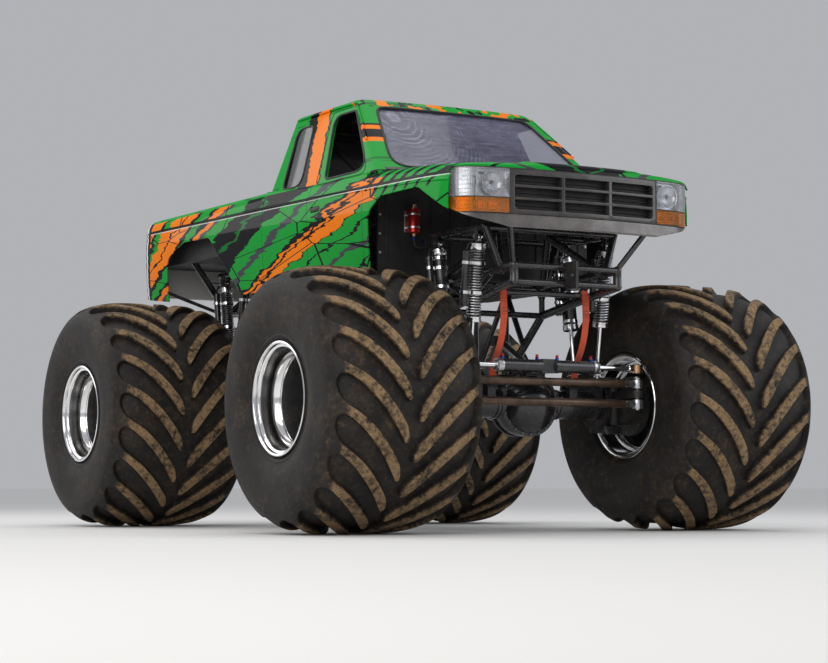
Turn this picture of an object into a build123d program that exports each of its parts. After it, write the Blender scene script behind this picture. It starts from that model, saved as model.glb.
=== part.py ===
from build123d import *
from math import asin, cos, pi, radians, sin
import os

# A monster truck in millimetres: X forward, Y left, Z up, origin on the ground midway between the axles.

ENDS = {"front": 1, "rear": -1}
SIDES = {"left": 1, "right": -1}

# Wheels and stance
TYRE_DIA = 1676
TYRE_WIDTH = 1092
BEAD_DIA = 660
RIM_LIP_DIA = 716
RIM_WALL = 14
WHEELBASE = 3250
TRACK = 2600
KINGPIN_Y = 720
STEER_ARM = 280
FIT = 0.3

HUB_Z = TYRE_DIA / 2
AXLE_X = WHEELBASE / 2
WHEEL_Y = TRACK / 2

# Tube chassis
RAIL_R = 28
WEB_R = 20
FRAME_Y = 400
RAIL_TOP_Z = 1655
BELLY_Z = 1060
KICK_Z = 1460
BELLY_X = 800
KICK_X = 1250
FRAME_FRONT_X = 2130
FRAME_FRONT_Z = 1590
FRAME_REAR_X = 2010
FRAME_REAR_Z = 1530
REAR_RAKE = 20

# Shock absorbers and their towers
SHOCK_Y = 500
SHOCK_FOOT_X = 120
SHOCK_FOOT_Z = HUB_Z + 150
SHOCK_HEAD_X = 250
TOWER_Z = 1950
TOWER_X = 330
TOWER_R = 25
TOWER_BRACE_Y = 200
SHOCK_HEAD_Z = TOWER_Z - TOWER_R - 32
COIL_R = 50
DAMPER_R = 48
SHAFT_R = 14

# Axles and steering
AXLE_TUBE_R = 95
DIFF_R = 212
YOKE_Y = 590
YOKE_R = 160
EAR_R = 55
EAR_Z = (140, 185)
PIN_R = 25
KNUCKLE_R = 50
KNUCKLE_HALF = 130
DRUM_R = 125
DRUM_END_Y = 990
STUB_R = 50
STUB_END_Y = 1085
ARM_Z = (45, 95)
ARM_W = 70
EYE_R = 38
BOLT_R = 14
TIE_R = 27
TIE_Z = (4, 136)
CYL_Z = 236
CYL_R = 45
CYL_Y = (50, 400)
ROD_R = 18

# Body
WALL = 14
SILL_Z = 1690
BELT_Z = 2360
ROOF_Z = 2940
CROWN_Z = ROOF_Z + 32
TAIL_X = -2425
DOOR_FRONT_X = 1185
DOOR_REAR_X = 400
CAB_BACK_X = -285
PAN_T = 12
PAN_Z = RAIL_TOP_Z + RAIL_R + FIT
BED_FLOOR_Z = 2030
GLASS = 8

# Outline of the body side: x, half width at sill, at crease and at top edge, crease and top edge over the belt
SIDE_STATIONS = (
    (-2420, 905, 935, 900, -60, 40),
    (-2300, 940, 968, 930, -60, 42),
    (-300, 945, 975, 935, -80, 42),
    (390, 945, 975, 930, -98, 0),
    (1185, 945, 975, 928, -120, 0),
    (1950, 938, 966, 905, -150, -38),
    (2200, 905, 930, 872, -165, -60),
    (2320, 850, 872, 830, -170, -68),
)


def rod(start, end, radius):
    start, end = Vector(*start), Vector(*end)
    way = end - start
    return Part() + Solid.make_cylinder(radius, way.length, Plane(origin=start, z_dir=way))


def ball(centre, radius):
    return Pos(*centre) * Sphere(radius)


def block(x, y, z):
    x, y, z = sorted(x), sorted(y), sorted(z)
    size = (x[1] - x[0], y[1] - y[0], z[1] - z[0])
    middle = (sum(x) / 2, sum(y) / 2, sum(z) / 2)
    return Pos(*middle) * Box(*size)


def fused(shapes):
    return Part() + list(shapes)


def tubes(runs, radius):
    """Round tubes along straight runs, with a weld bead a little wider than the tube at every point."""
    shapes = []
    beads = set()
    for run in runs:
        for start, end in zip(run, run[1:]):
            shapes.append(rod(start, end, radius))
        beads.update(run)
    shapes += [ball(point, radius + 1.5) for point in sorted(beads)]
    return fused(shapes)


def prism_y(points, y_low, y_high, corner=0):
    """A side-view outline of (x, z) points, extruded across the vehicle."""
    face = make_face(Polyline(*[(x, y_low, z) for x, z in points], close=True))
    if corner:
        face = fillet(face.vertices(), corner)
    return extrude(face, amount=y_high - y_low, dir=(0, 1, 0))


def turned(points, x, z=HUB_Z):
    """A solid of revolution about the line along Y through (x, z); points are (radius, y)."""
    face = make_face(Polyline(*[(x + radius, y, z) for radius, y in points], close=True))
    return revolve(face, Axis((x, 0, z), (0, 1, 0)), 360)


def lofted(sections):
    return loft([make_face(Polyline(*section, close=True)) for section in sections], ruled=True)


def cut(shape, others):
    for other in others:
        shape -= other
    return shape


def largest(shape, count=1):
    """The biggest solids of a shape whose ends were cut to fit its neighbours."""
    solids = sorted(shape.solids(), key=lambda solid: -solid.volume)[:count]
    return solids[0] if count == 1 else Compound(children=solids)


def save(shape, node):
    export_step(shape, f"parts/{node}.step")


def side_at(x):
    """The body side's five sizes at a station, read between the table's rows."""
    for (x0, *low), (x1, *high) in zip(SIDE_STATIONS, SIDE_STATIONS[1:]):
        if x0 <= x <= x1:
            share = (x - x0) / (x1 - x0)
            sill, crease, top, *heights = (a + (b - a) * share for a, b in zip(low, high))
            return [sill, crease, top, *(BELT_Z + height for height in heights)]
    raise ValueError(x)


def side_panel(x_low, x_high, side, z_low=SILL_Z, flange=0, top_drop=0):
    """One stretch of the body side, one wall thick, with a flange turned inwards along its top edge."""
    xs = [x_low] + [row[0] for row in SIDE_STATIONS if x_low < row[0] < x_high] + [x_high]
    sections = []
    for x in xs:
        sill, crease, top, crease_z, top_z = side_at(x)
        top_z -= top_drop
        outline = [(sill, z_low), (crease, crease_z), (top, top_z)]
        if flange:
            outline += [(top - flange, top_z), (top - flange, top_z - WALL)]
            outline += [(top - WALL, top_z - WALL)]
        else:
            outline += [(top - WALL, top_z)]
        outline += [(crease - WALL, crease_z), (sill - WALL, z_low)]
        sections.append([(x, side * y, z) for y, z in outline])
    return lofted(sections)


# Wheel arches and the raised tail seen from the side: x, z; the cuts start well below the sill
UNDER_Z = SILL_Z - 190
ARCH_FRONT = ((1245, UNDER_Z), (1245, 2100), (1420, 2180), (1890, 2185), (2330, 1930), (2330, 1890), (2500, UNDER_Z))
ARCH_REAR = ((-1960, UNDER_Z), (-1960, 2070), (-1640, 2170), (-1180, 2165), (-640, 1660), (-600, UNDER_Z))
TAIL_RISE = ((-2500, UNDER_Z), (-2500, 1790), (-1900, 1725), (-1900, UNDER_Z))
ARCH_CORNER = 45
ARCH_REACH = 1200


def arch_cut(points):
    return prism_y(points, -ARCH_REACH, ARCH_REACH, ARCH_CORNER)


def window_x(z):
    """Where the windscreen's outer face lies at height z."""
    share = (z - BELT_Z) / (ROOF_Z - BELT_Z)
    return SCREEN_FOOT_X + (SCREEN_HEAD_X - SCREEN_FOOT_X) * share


def cab_y(z):
    share = (z - BELT_Z) / (ROOF_Z - BELT_Z)
    return CAB_BELT_Y + (CAB_ROOF_Y - CAB_BELT_Y) * share


SCREEN_FOOT_X = 1362
SCREEN_HEAD_X = 705
CAB_BELT_Y = 928
CAB_ROOF_Y = 705
CAB_WALL = 26
SCREEN_Z = (BELT_Z + 42, ROOF_Z - 48)
SCREEN_HALF = (CAB_BELT_Y - 128, CAB_ROOF_Y - 95)
SIDE_WINDOW_LOW_Z = BELT_Z + 28
DOOR_WINDOW_HIGH_Z = ROOF_Z - 72
QUARTER_HIGH_Z = ROOF_Z - 90
DOOR_WINDOW = ((1150, SIDE_WINDOW_LOW_Z), (560, SIDE_WINDOW_LOW_Z), (365, DOOR_WINDOW_HIGH_Z),
               (672, DOOR_WINDOW_HIGH_Z))
QUARTER_WINDOW = ((205, SIDE_WINDOW_LOW_Z), (-80, SIDE_WINDOW_LOW_Z), (-170, QUARTER_HIGH_Z), (70, QUARTER_HIGH_Z))
WINDOW_CORNER = 24
REAR_WINDOW_Z = (BELT_Z + 70, ROOF_Z - 120)
REAR_WINDOW_HALF = (620, 520)
CROWN_INSET = 90
SEAM = 10


def cab_shell():
    def cabin(inset, z_low, z_high):
        front = window_x(z_low) - inset * 1.5, window_x(z_high) - inset * 1.5
        half = cab_y(z_low) - inset, cab_y(z_high) - inset
        back = CAB_BACK_X + inset
        rings = []
        for x, y, z in zip(front, half, (z_low, z_high)):
            rings.append([(x, -y, z), (x, y, z), (back, y, z), (back, -y, z)])
        return lofted(rings)

    shell = cabin(0, BELT_Z, ROOF_Z)
    crown = [[(x0, -y, z), (x0, y, z), (x1, y, z), (x1, -y, z)] for x0, x1, y, z in (
        (SCREEN_HEAD_X - 2, CAB_BACK_X + 2, CAB_ROOF_Y - 2, ROOF_Z - 1),
        (SCREEN_HEAD_X - CROWN_INSET, CAB_BACK_X + CROWN_INSET, CAB_ROOF_Y - CROWN_INSET, CROWN_Z),
    )]
    shell += lofted(crown)
    shell -= cabin(CAB_WALL, BELT_Z - 1, ROOF_Z - CAB_WALL)
    corners = [side_panel(CAB_BACK_X, DOOR_REAR_X, side) for side in (1, -1)]
    half = side_at(CAB_BACK_X)[0] - 2
    joint = (BELT_Z - SEAM, BELT_Z + SEAM - 2)
    back = block((CAB_BACK_X, CAB_BACK_X + WALL), (-half, half), (SILL_Z + PAN_T + SEAM, joint[1]))
    belts = [block((CAB_BACK_X, DOOR_REAR_X), (side * (CAB_BELT_Y - CAB_WALL - 4), side * CAB_BELT_Y), joint)
             for side in (1, -1)]
    shell = fused([shell, back, *belts, *corners])
    for outline in (DOOR_WINDOW, QUARTER_WINDOW):
        shell -= prism_y(outline, -ARCH_REACH, ARCH_REACH, WINDOW_CORNER)
    low, high = SCREEN_Z
    screen = Polyline(*[(SCREEN_HEAD_X - 200, y, z) for y, z in (
        (-SCREEN_HALF[0], low), (SCREEN_HALF[0], low), (SCREEN_HALF[1], high), (-SCREEN_HALF[1], high))], close=True)
    shell -= extrude(make_face(screen), amount=1000, dir=(1, 0, 0))
    low, high = REAR_WINDOW_Z
    wide, narrow = REAR_WINDOW_HALF
    rear = Polyline(*[(CAB_BACK_X - 50, y, z) for y, z in (
        (-wide, low), (wide, low), (narrow, high), (-narrow, high))], close=True)
    shell -= extrude(make_face(rear), amount=150, dir=(1, 0, 0))
    return shell


def pane(low_edge, high_edge, step):
    """A flat pane between two edges, each a pair of points, as thick as step is long."""
    rings = []
    for first, second in (low_edge, high_edge):
        back = [tuple(a + b for a, b in zip(point, step)) for point in (second, first)]
        rings.append([first, second, *back])
    return lofted(rings)


def windscreen():
    edges = []
    for z, half in zip((SCREEN_Z[0] + FIT, SCREEN_Z[1] - FIT), SCREEN_HALF):
        x = window_x(z) - 10
        edges.append(((x, -half + FIT, z), (x, half - FIT, z)))
    return pane(*edges, (-GLASS * 1.5, 0, 0))


def cab_glass(shell):
    panes = []
    (x0, z0), (x1, _), (x2, z1), (x3, _) = QUARTER_WINDOW
    for side in (1, -1):
        low, high = z0 + FIT, z1 - FIT
        y_low, y_high = side * (cab_y(low) - 8), side * (cab_y(high) - 8)
        panes.append(pane(
            ((x0 - 12, y_low, low), (x1 + 12, y_low, low)),
            ((x3 - 12, y_high, high), (x2 + 12, y_high, high)),
            (0, -side * GLASS, 0),
        ))
    x = CAB_BACK_X + 8
    (low, high), (wide, narrow) = REAR_WINDOW_Z, REAR_WINDOW_HALF
    panes.append(pane(
        ((x, -wide + 4, low + FIT), (x, wide - 4, low + FIT)),
        ((x, -narrow + 4, high - FIT), (x, narrow - 4, high - FIT)),
        (GLASS, 0, 0),
    ))
    return Compound(children=[largest(item - shell) for item in panes])


def door(side):
    return side_panel(DOOR_REAR_X + FIT, DOOR_FRONT_X - FIT, side, top_drop=FIT)


def fender(side):
    panel = side_panel(DOOR_FRONT_X, SIDE_STATIONS[-1][0], side, flange=FENDER_FLANGE)
    return panel - arch_cut(ARCH_FRONT)


def bed_side(side):
    panel = side_panel(SIDE_STATIONS[0][0], CAB_BACK_X - FIT, side, flange=BED_FLANGE)
    return panel - arch_cut(ARCH_REAR) - prism_y(TAIL_RISE, -ARCH_REACH, ARCH_REACH)


FENDER_FLANGE = 45
BED_FLANGE = 70
NOSE_LIP = 36
NOSE_LIP_SHARE = 0.74
# Hood stations: x, crown above its edge
HOOD_STATIONS = ((SCREEN_FOOT_X + FIT, 26), (1950, 30), (2200, 22), (2318, 14))


def hood():
    sections = []
    for x, crown in HOOD_STATIONS:
        half, z = side_at(x)[2] - FENDER_FLANGE - FIT, side_at(x)[4]
        over = [(-half, z), (-0.8 * half, z + crown), (0.8 * half, z + crown), (half, z)]
        under = [(y, height - WALL) for y, height in reversed(over)]
        sections.append([(x, y, height) for y, height in over + under])
    lip = sections[-1]
    sections.append([(x + NOSE_LIP, y * NOSE_LIP_SHARE, z - 6) for x, y, z in lip])
    return lofted(sections)


FACE_PLAN = ((-900, 2190), (-840, 2290), (-560, 2340), (0, 2375), (560, 2340), (840, 2290), (900, 2190))


def face_slab(z_low, z_high, half, depth, set_back=0):
    """A slab that follows the curve of the nose in plan, cut off at a half width."""
    outer = [(x - set_back, y) for y, x in FACE_PLAN]
    inner = [(x - depth, y) for x, y in reversed(outer)]
    face = make_face(Polyline(*[(x, y, z_low) for x, y in outer + inner], close=True))
    slab = extrude(face, amount=z_high - z_low, dir=(0, 0, 1))
    return slab & block((1900, 2500), (-half, half), (z_low, z_high))


GRILLE_Z = (BELT_Z - 370, BELT_Z + SIDE_STATIONS[-1][5] - WALL - 8)
GRILLE_HALF = 560
GRILLE_CELLS = 3
GRILLE_BAR = 34
GRILLE_SILL = 24
GRILLE_HEAD = 44
GRILLE_DEPTH = 60
LAMP_HALF = 868
LAMP_DEPTH = 70
CHIN_DROP = 85
CHIN_DEPTH = 46


def grille():
    low, high = GRILLE_Z
    frame = face_slab(low, high, GRILLE_HALF, GRILLE_DEPTH)
    inner_low, inner_high = low + GRILLE_SILL, high - GRILLE_HEAD
    pitch_y = (2 * GRILLE_HALF - GRILLE_BAR) / GRILLE_CELLS
    pitch_z = (inner_high - inner_low + GRILLE_BAR / 2) / GRILLE_CELLS
    for column in range(GRILLE_CELLS):
        for row in range(GRILLE_CELLS):
            y = -GRILLE_HALF + GRILLE_BAR + column * pitch_y
            z = inner_low + row * pitch_z
            frame -= block((2200, 2500), (y, y + pitch_y - GRILLE_BAR), (z, z + pitch_z - GRILLE_BAR / 2))
    return frame


LAMP_SPLIT_Z = GRILLE_Z[0] + 96


def lamps(z_low, z_high, fenders):
    band = face_slab(z_low, z_high, LAMP_HALF, LAMP_DEPTH, 4)
    band -= block((1900, 2500), (-GRILLE_HALF - FIT, GRILLE_HALF + FIT), (z_low - 1, z_high + 1))
    return largest(cut(band, fenders), 2)


def valance():
    return face_slab(GRILLE_Z[0] - CHIN_DROP, GRILLE_Z[0] - FIT, LAMP_HALF - 2, CHIN_DEPTH, 2)


TAIL_Z = (SILL_Z + 110, BELT_Z + 40)
TAIL_T = 45
TAIL_FRAME = 120
TAIL_DISH = 10
TAIL_LAMP_Z = (BELT_Z - 280, BELT_Z - 20)
TAIL_LAMP_SIZE = (40, 62)


def tailgate():
    half = side_at(SIDE_STATIONS[0][0])[2] - BED_FLANGE - FIT
    gate = block((TAIL_X, TAIL_X + TAIL_T), (-half, half), TAIL_Z)
    dish = half - TAIL_FRAME
    gate -= block((TAIL_X - 1, TAIL_X + TAIL_DISH), (-dish, dish), (TAIL_Z[0] + TAIL_FRAME, TAIL_Z[1] - BED_FLANGE))
    return gate


def tail_lamps():
    half = side_at(SIDE_STATIONS[0][0])[2] - BED_FLANGE
    depth, width = TAIL_LAMP_SIZE
    return Compound(children=[
        block((TAIL_X, TAIL_X + depth), (side * (half + FIT), side * (half + width)), TAIL_LAMP_Z)
        for side in (1, -1)])


BED_IN = 84
BED_TOP_Z = BELT_Z + 25
BED_REST_Y = (420, 480)
BED_REST_HALF = 40


def bed_liner():
    outer_x = (TAIL_X + TAIL_T + 1, CAB_BACK_X - FIT)
    half = side_at(CAB_BACK_X)[0] - BED_IN
    tub = block(outer_x, (-half, half), (BED_FLOOR_Z, BED_TOP_Z))
    tub -= block((outer_x[0] + WALL, outer_x[1] - WALL), (WALL - half, half - WALL),
                 (BED_FLOOR_Z + WALL, BED_TOP_Z + 1))
    rests = [block((-AXLE_X - BED_REST_HALF, BED_REST_HALF - AXLE_X), (side * BED_REST_Y[0], side * BED_REST_Y[1]),
                   (TOWER_Z + TOWER_R + FIT, BED_FLOOR_Z + 2)) for side in (1, -1)]
    return fused([tub, *rests])


DASH_X = (1140, 1160)
DASH_HALF = 840
DASH_TOP_Z = BELT_Z - 30
PAN_FRONT_X = 1230


def floor_pan():
    half = side_at(DOOR_REAR_X)[0] - WALL - FIT - 4
    pan = block((CAB_BACK_X + WALL, PAN_FRONT_X), (-half, half), (PAN_Z, PAN_Z + PAN_T))
    return pan + block(DASH_X, (-DASH_HALF, DASH_HALF), (PAN_Z + PAN_T - 1, DASH_TOP_Z))


NOSE_TUBE_Z = RAIL_TOP_Z + 40
# Overhanging end of a side truss: how far past the kick its two slanting webs stand, and how high the first one ends
WEB_FOOT_X = 360
WEB_HEAD_X = 600
WEB_FOOT_UP = 60


def side_truss(side):
    y = side * FRAME_Y
    front = (FRAME_FRONT_X, y, NOSE_TUBE_Z)
    top = [(-FRAME_REAR_X, y, RAIL_TOP_Z), (KICK_X + 60, y, RAIL_TOP_Z), front]
    low = [(-FRAME_REAR_X, y, RAIL_TOP_Z), (-FRAME_REAR_X + REAR_RAKE, y, FRAME_REAR_Z), (-KICK_X, y, KICK_Z),
           (-BELLY_X, y, BELLY_Z), (BELLY_X, y, BELLY_Z), (KICK_X, y, KICK_Z),
           (FRAME_FRONT_X, y, FRAME_FRONT_Z), front]
    rails = tubes([top, low], RAIL_R)
    web = []
    step = BELLY_X / 2
    for index in range(5):
        x = -BELLY_X + index * step
        web.append([(x, y, BELLY_Z), (x, y, RAIL_TOP_Z)])
        if index < 4:
            lean = (x, x + step) if index < 2 else (x + step, x)
            web.append([(lean[0], y, RAIL_TOP_Z), (lean[1], y, BELLY_Z)])
    for end in ENDS.values():
        foot = (end * (KICK_X + WEB_FOOT_X), y, KICK_Z + WEB_FOOT_UP)
        web.append([(end * KICK_X, y, KICK_Z), (end * KICK_X, y, RAIL_TOP_Z)])
        web.append([(end * BELLY_X, y, RAIL_TOP_Z), (end * (KICK_X + BELLY_X) / 2, y, (KICK_Z + BELLY_Z) / 2)])
        web.append([(end * KICK_X, y, RAIL_TOP_Z), foot])
        web.append([foot, (end * (KICK_X + WEB_HEAD_X), y, RAIL_TOP_Z)])
    return rails + tubes(web, WEB_R)


# Cross tubes between the side trusses: x, z
CROSS_TUBES = (
    (FRAME_FRONT_X, NOSE_TUBE_Z), (FRAME_FRONT_X, FRAME_FRONT_Z), (KICK_X, RAIL_TOP_Z), (KICK_X, KICK_Z),
    (BELLY_X, RAIL_TOP_Z), (BELLY_X, BELLY_Z), (200, BELLY_Z), (-200, BELLY_Z), (-BELLY_X, BELLY_Z),
    (-BELLY_X, RAIL_TOP_Z), (-KICK_X, RAIL_TOP_Z), (-KICK_X, KICK_Z), (-FRAME_REAR_X, RAIL_TOP_Z),
    (-FRAME_REAR_X + REAR_RAKE, FRAME_REAR_Z),
)
TOW_HOLE_R = 16
TOW_PLATE = 20
TOW_REACH = 90
TOW_MARGIN = 34


def cross_tubes(trusses):
    solids = []
    for x, z in CROSS_TUBES:
        solids.append(largest(cut(rod((x, -FRAME_Y, z), (x, FRAME_Y, z), WEB_R), trusses)))
    return Compound(children=solids)


def tow_plates(cross):
    """Upright plates with a pin hole, fixed across the two end tubes at the front and at the rear."""
    plates = []
    for x, z_low, z_high, way in (
        (FRAME_FRONT_X, FRAME_FRONT_Z, NOSE_TUBE_Z, 1),
        (-FRAME_REAR_X, FRAME_REAR_Z, RAIL_TOP_Z, -1),
    ):
        face = x + way * (WEB_R + 12)
        plate = block((x, face + way * TOW_REACH), (-TOW_PLATE / 2, TOW_PLATE / 2),
                      (z_low - TOW_MARGIN, z_high + TOW_MARGIN))
        pin = (face + way * TOW_REACH / 2, (z_low + z_high) / 2)
        plate -= rod((pin[0], -TOW_PLATE, pin[1]), (pin[0], TOW_PLATE, pin[1]), TOW_HOLE_R)
        plates.append(largest(plate - cross))
    return Compound(children=plates)


TOWER_SPLAY = 30
TAB_GAP = 40
TAB_T = 7
TAB_HALF = 26
SHOCK_EYE_R = 24


def towers(end):
    """The hoop that carries one axle's shock absorbers, standing on the frame's top rails."""
    x = end * AXLE_X
    foot = RAIL_TOP_Z + RAIL_R * 0.6
    bars = []
    for side in (1, -1):
        y = side * SHOCK_Y
        bars.append([(x - TOWER_X, y, TOWER_Z), (x, y, TOWER_Z), (x + TOWER_X, y, TOWER_Z)])
        for way in (1, -1):
            stand = (x + way * (TOWER_X + TOWER_SPLAY), side * FRAME_Y, foot)
            bars.append([stand, (x + way * TOWER_X, y, TOWER_Z)])
            bars.append([stand, (x, side * TOWER_BRACE_Y, TOWER_Z)])
    for way in (1, 0, -1):
        bars.append([(x + way * TOWER_X, -SHOCK_Y, TOWER_Z), (x + way * TOWER_X, SHOCK_Y, TOWER_Z)])
    hoop = tubes(bars, TOWER_R)
    tabs = []
    for side in (1, -1):
        for way in (1, -1):
            for edge in (1, -1):
                y = side * SHOCK_Y + edge * (TAB_GAP / 2)
                at = x + way * SHOCK_HEAD_X
                tabs.append(block((at - TAB_HALF, at + TAB_HALF), (y, y + edge * TAB_T),
                                  (SHOCK_HEAD_Z - TAB_HALF, TOWER_Z)))
    return fused([hoop, *tabs])


# Shares of a shock absorber's length from its foot up
PERCH = (0.055, 0.066)
COLLAR = (0.40, 0.441)
BODY = (0.44, 0.955)
NECK = (0.95, 1.0)
PERCH_R = 52
NECK_R = 18
COLLAR_EDGE = 6
SHAFT_GAP = 0.0004


def shock_line(end, side, way):
    x = end * AXLE_X
    foot = Vector(x + way * SHOCK_FOOT_X, side * SHOCK_Y, SHOCK_FOOT_Z)
    head = Vector(x + way * SHOCK_HEAD_X, side * SHOCK_Y, SHOCK_HEAD_Z)
    return foot, head


def along(line, share):
    foot, head = line
    return tuple(foot + (head - foot) * share)


def eye(centre, radius, width):
    x, y, z = centre
    return rod((x, y - width / 2, z), (x, y + width / 2, z), radius)


def shocks(end):
    """Two per wheel: the outer one of the axle's pair carries a fine spring, the inner one is a bare cylinder."""
    bodies, shafts = [], []
    for side in (1, -1):
        for way in (1, -1):
            line = shock_line(end, side, way)
            sprung = way == end
            radius = COIL_R if sprung else DAMPER_R
            eye_width = TAB_GAP - 2 * FIT
            collar, barrel, neck, perch = ([along(line, share) for share in shares]
                                           for shares in (COLLAR, BODY, NECK, PERCH))
            body = rod(*barrel, radius) + rod(*collar, radius + COLLAR_EDGE) + rod(*neck, NECK_R)
            bodies.append(body + eye(tuple(line[1]), SHOCK_EYE_R, eye_width))
            shaft = rod(along(line, 0), along(line, COLLAR[0] - SHAFT_GAP), SHAFT_R) + rod(*perch, PERCH_R)
            shaft += eye(tuple(line[0]), SHOCK_EYE_R, eye_width)
            shafts.append(shaft)
    return Compound(children=bodies), Compound(children=shafts)


# Axle housing: the pinion's reach, rise and radius, the cylinder bracket, the link brackets
PINION_X = 345
PINION_RISE = 40
PINION_R = 80
BRACKET_HALF = 46
BRACKET_X = (20, 20)
BRACKET_FOOT = (-60, 110)
BRACKET_FOOT_Z = 150
EAR_ROOT = 30
PERCH_BEAM = 34
BEAM_Z = 20
LINK_SEAT = 34
LINK_SEAT_X = 50
LINK_WEB_Z = {True: 60, False: -20}
SHOCK_ROOM = 6
STRAP_SEAT = 30
STRAP_SEAT_Z = (40, 40)


def axle(end):
    x = end * AXLE_X
    pieces = [rod((x, -YOKE_Y, HUB_Z), (x, YOKE_Y, HUB_Z), AXLE_TUBE_R), ball((x, 0, HUB_Z), DIFF_R),
              rod((x, 0, HUB_Z), (x - end * PINION_X, 0, HUB_Z + PINION_RISE), PINION_R)]
    bracket_z = (HUB_Z + CYL_Z - BRACKET_HALF, HUB_Z + CYL_Z + BRACKET_HALF)
    near, past = BRACKET_X
    pieces.append(block((x + end * near, x + end * (STEER_ARM + past)), (-CYL_Y[0], CYL_Y[0]), bracket_z))
    foot_x = [x + end * offset for offset in BRACKET_FOOT]
    pieces.append(block(foot_x, (-CYL_Y[0], CYL_Y[0]), (HUB_Z + BRACKET_FOOT_Z, bracket_z[1])))
    for side in (1, -1):
        pin = (x, side * KINGPIN_Y)
        pieces.append(rod((x, side * (YOKE_Y - EAR_ROOT), HUB_Z), (x, side * YOKE_Y, HUB_Z), YOKE_R))
        for up in (1, -1):
            low, high = (HUB_Z + up * height for height in EAR_Z)
            pieces.append(block((x - EAR_R, x + EAR_R), (side * (YOKE_Y - EAR_ROOT), pin[1]), (low, high)))
            pieces.append(rod((*pin, low), (*pin, high), EAR_R))
            pieces.append(block((x - EAR_R, x + EAR_R), (side * (YOKE_Y - EAR_ROOT), side * YOKE_Y), (HUB_Z, high)))
        for way in (1, -1):
            foot = shock_line(end, side, way)[0]
            for edge in (1, -1):
                y = foot.Y + edge * TAB_GAP / 2
                pieces.append(block((foot.X - TAB_HALF, foot.X + TAB_HALF), (y, y + edge * TAB_T),
                                    (HUB_Z + BEAM_Z, foot.Z + TAB_HALF)))
        reach = SHOCK_FOOT_X + TAB_HALF
        beam_y = (side * (SHOCK_Y - PERCH_BEAM), side * (SHOCK_Y + PERCH_BEAM))
        pieces.append(block((x - reach, x + reach), beam_y,
                            (HUB_Z + BEAM_Z, SHOCK_FOOT_Z - SHOCK_EYE_R - SHOCK_ROOM)))
        for upper in (False, True):
            seat_x, seat_y, seat_z = link_ends(end, side, upper)[0]
            pieces.append(block((seat_x, seat_x + end * LINK_SEAT_X), (seat_y - LINK_SEAT, seat_y + LINK_SEAT),
                                (seat_z - LINK_SEAT, seat_z + LINK_SEAT)))
            pieces.append(rod((seat_x + end * LINK_SEAT_X * 0.6, seat_y, seat_z),
                              (x, seat_y, HUB_Z + LINK_WEB_Z[upper]), LINK_R))
        foot = strap_points(end, side)[0]
        pieces.append(block((x + end * near, foot[0]), (foot[1] - STRAP_SEAT, foot[1] + STRAP_SEAT),
                            (HUB_Z + STRAP_SEAT_Z[0], foot[2] + STRAP_SEAT_Z[1])))
    body = fused(pieces)
    for side in (1, -1):
        body -= rod((x, side * KINGPIN_Y, HUB_Z - YOKE_R * 2), (x, side * KINGPIN_Y, HUB_Z + YOKE_R * 2), PIN_R + FIT)
    return body


LINK_R = 28
LINK_NECK = 0.6
LINK_CAP = 60
# Ends of an upper and a lower link: x from the axle, y, z from the hub; x from the belly end, y, z from the belly
LINK_ENDS = {True: (-120, 185, 205, 60, 300, 250), False: (-130, 420, -60, -40, 330, -40)}


def link_ends(end, side, upper):
    """The two ends of one suspension link: at the axle and at the frame."""
    axle_x, axle_y, axle_z, frame_x, frame_y, frame_z = LINK_ENDS[upper]
    return ((end * (AXLE_X + axle_x), side * axle_y, HUB_Z + axle_z),
            (end * (BELLY_X + frame_x), side * frame_y, BELLY_Z + frame_z))


def link_bars(seats):
    bars = []
    for end in (1, -1):
        for side in (1, -1):
            for upper in (False, True):
                start, stop = (Vector(*point) for point in link_ends(end, side, upper))
                way = (stop - start).normalized()
                start = start - Vector(end * FIT, 0, 0)
                bar = rod(tuple(start + way * LINK_CAP), tuple(stop - way * LINK_CAP), LINK_R)
                bar += rod(tuple(start + way * 4), tuple(stop - way * 4), LINK_R * LINK_NECK)
                bars.append(largest(cut(bar, seats)))
    return bars


def link_mounts():
    """Brackets on the frame that hold the links' inner ends: a plate across each pair of side tubes."""
    plates = []
    for end in (1, -1):
        for side in (1, -1):
            for upper in (False, True):
                x, y, z = link_ends(end, side, upper)[1]
                plates.append(block((x - end * 2, x - end * LINK_CAP),
                                    (y - side * LINK_SEAT, side * (FRAME_Y - RAIL_R - FIT)),
                                    (z - LINK_SEAT, z + LINK_SEAT)))
    return plates


STRAP_W = 50
STRAP_T = 5
STRAP_Y = 320
STRAP_HEAD_X = 250
# A limit strap's slack run in side view: x from the axle, z from the hub
STRAP_RUN = ((115, 120), (150, 262), (236, 420), (262, 560))


def low_rail_z(end, x):
    """Height of a side truss's lower rail where it passes over an axle."""
    reach, z = (FRAME_FRONT_X, FRAME_FRONT_Z) if end > 0 else (FRAME_REAR_X - REAR_RAKE, FRAME_REAR_Z)
    return KICK_Z + (z - KICK_Z) * (abs(x) - KICK_X) / (reach - KICK_X)


def strap_points(end, side):
    run = [(end * (AXLE_X + x), side * STRAP_Y, HUB_Z + z) for x, z in STRAP_RUN]
    head = end * (AXLE_X + STRAP_HEAD_X)
    return [*run, (head, side * STRAP_Y, low_rail_z(end, head) + STRAP_SEAT)]


def limit_straps():
    straps = []
    for end in (1, -1):
        for side in (1, -1):
            points = strap_points(end, side)
            outline = [(x + end * FIT, z) for x, _, z in points]
            outline += [(x + end * (STRAP_T + FIT), z) for x, _, z in reversed(points)]
            y = points[0][1]
            straps.append(prism_y(outline, y - STRAP_W / 2, y + STRAP_W / 2))
    return straps


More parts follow.
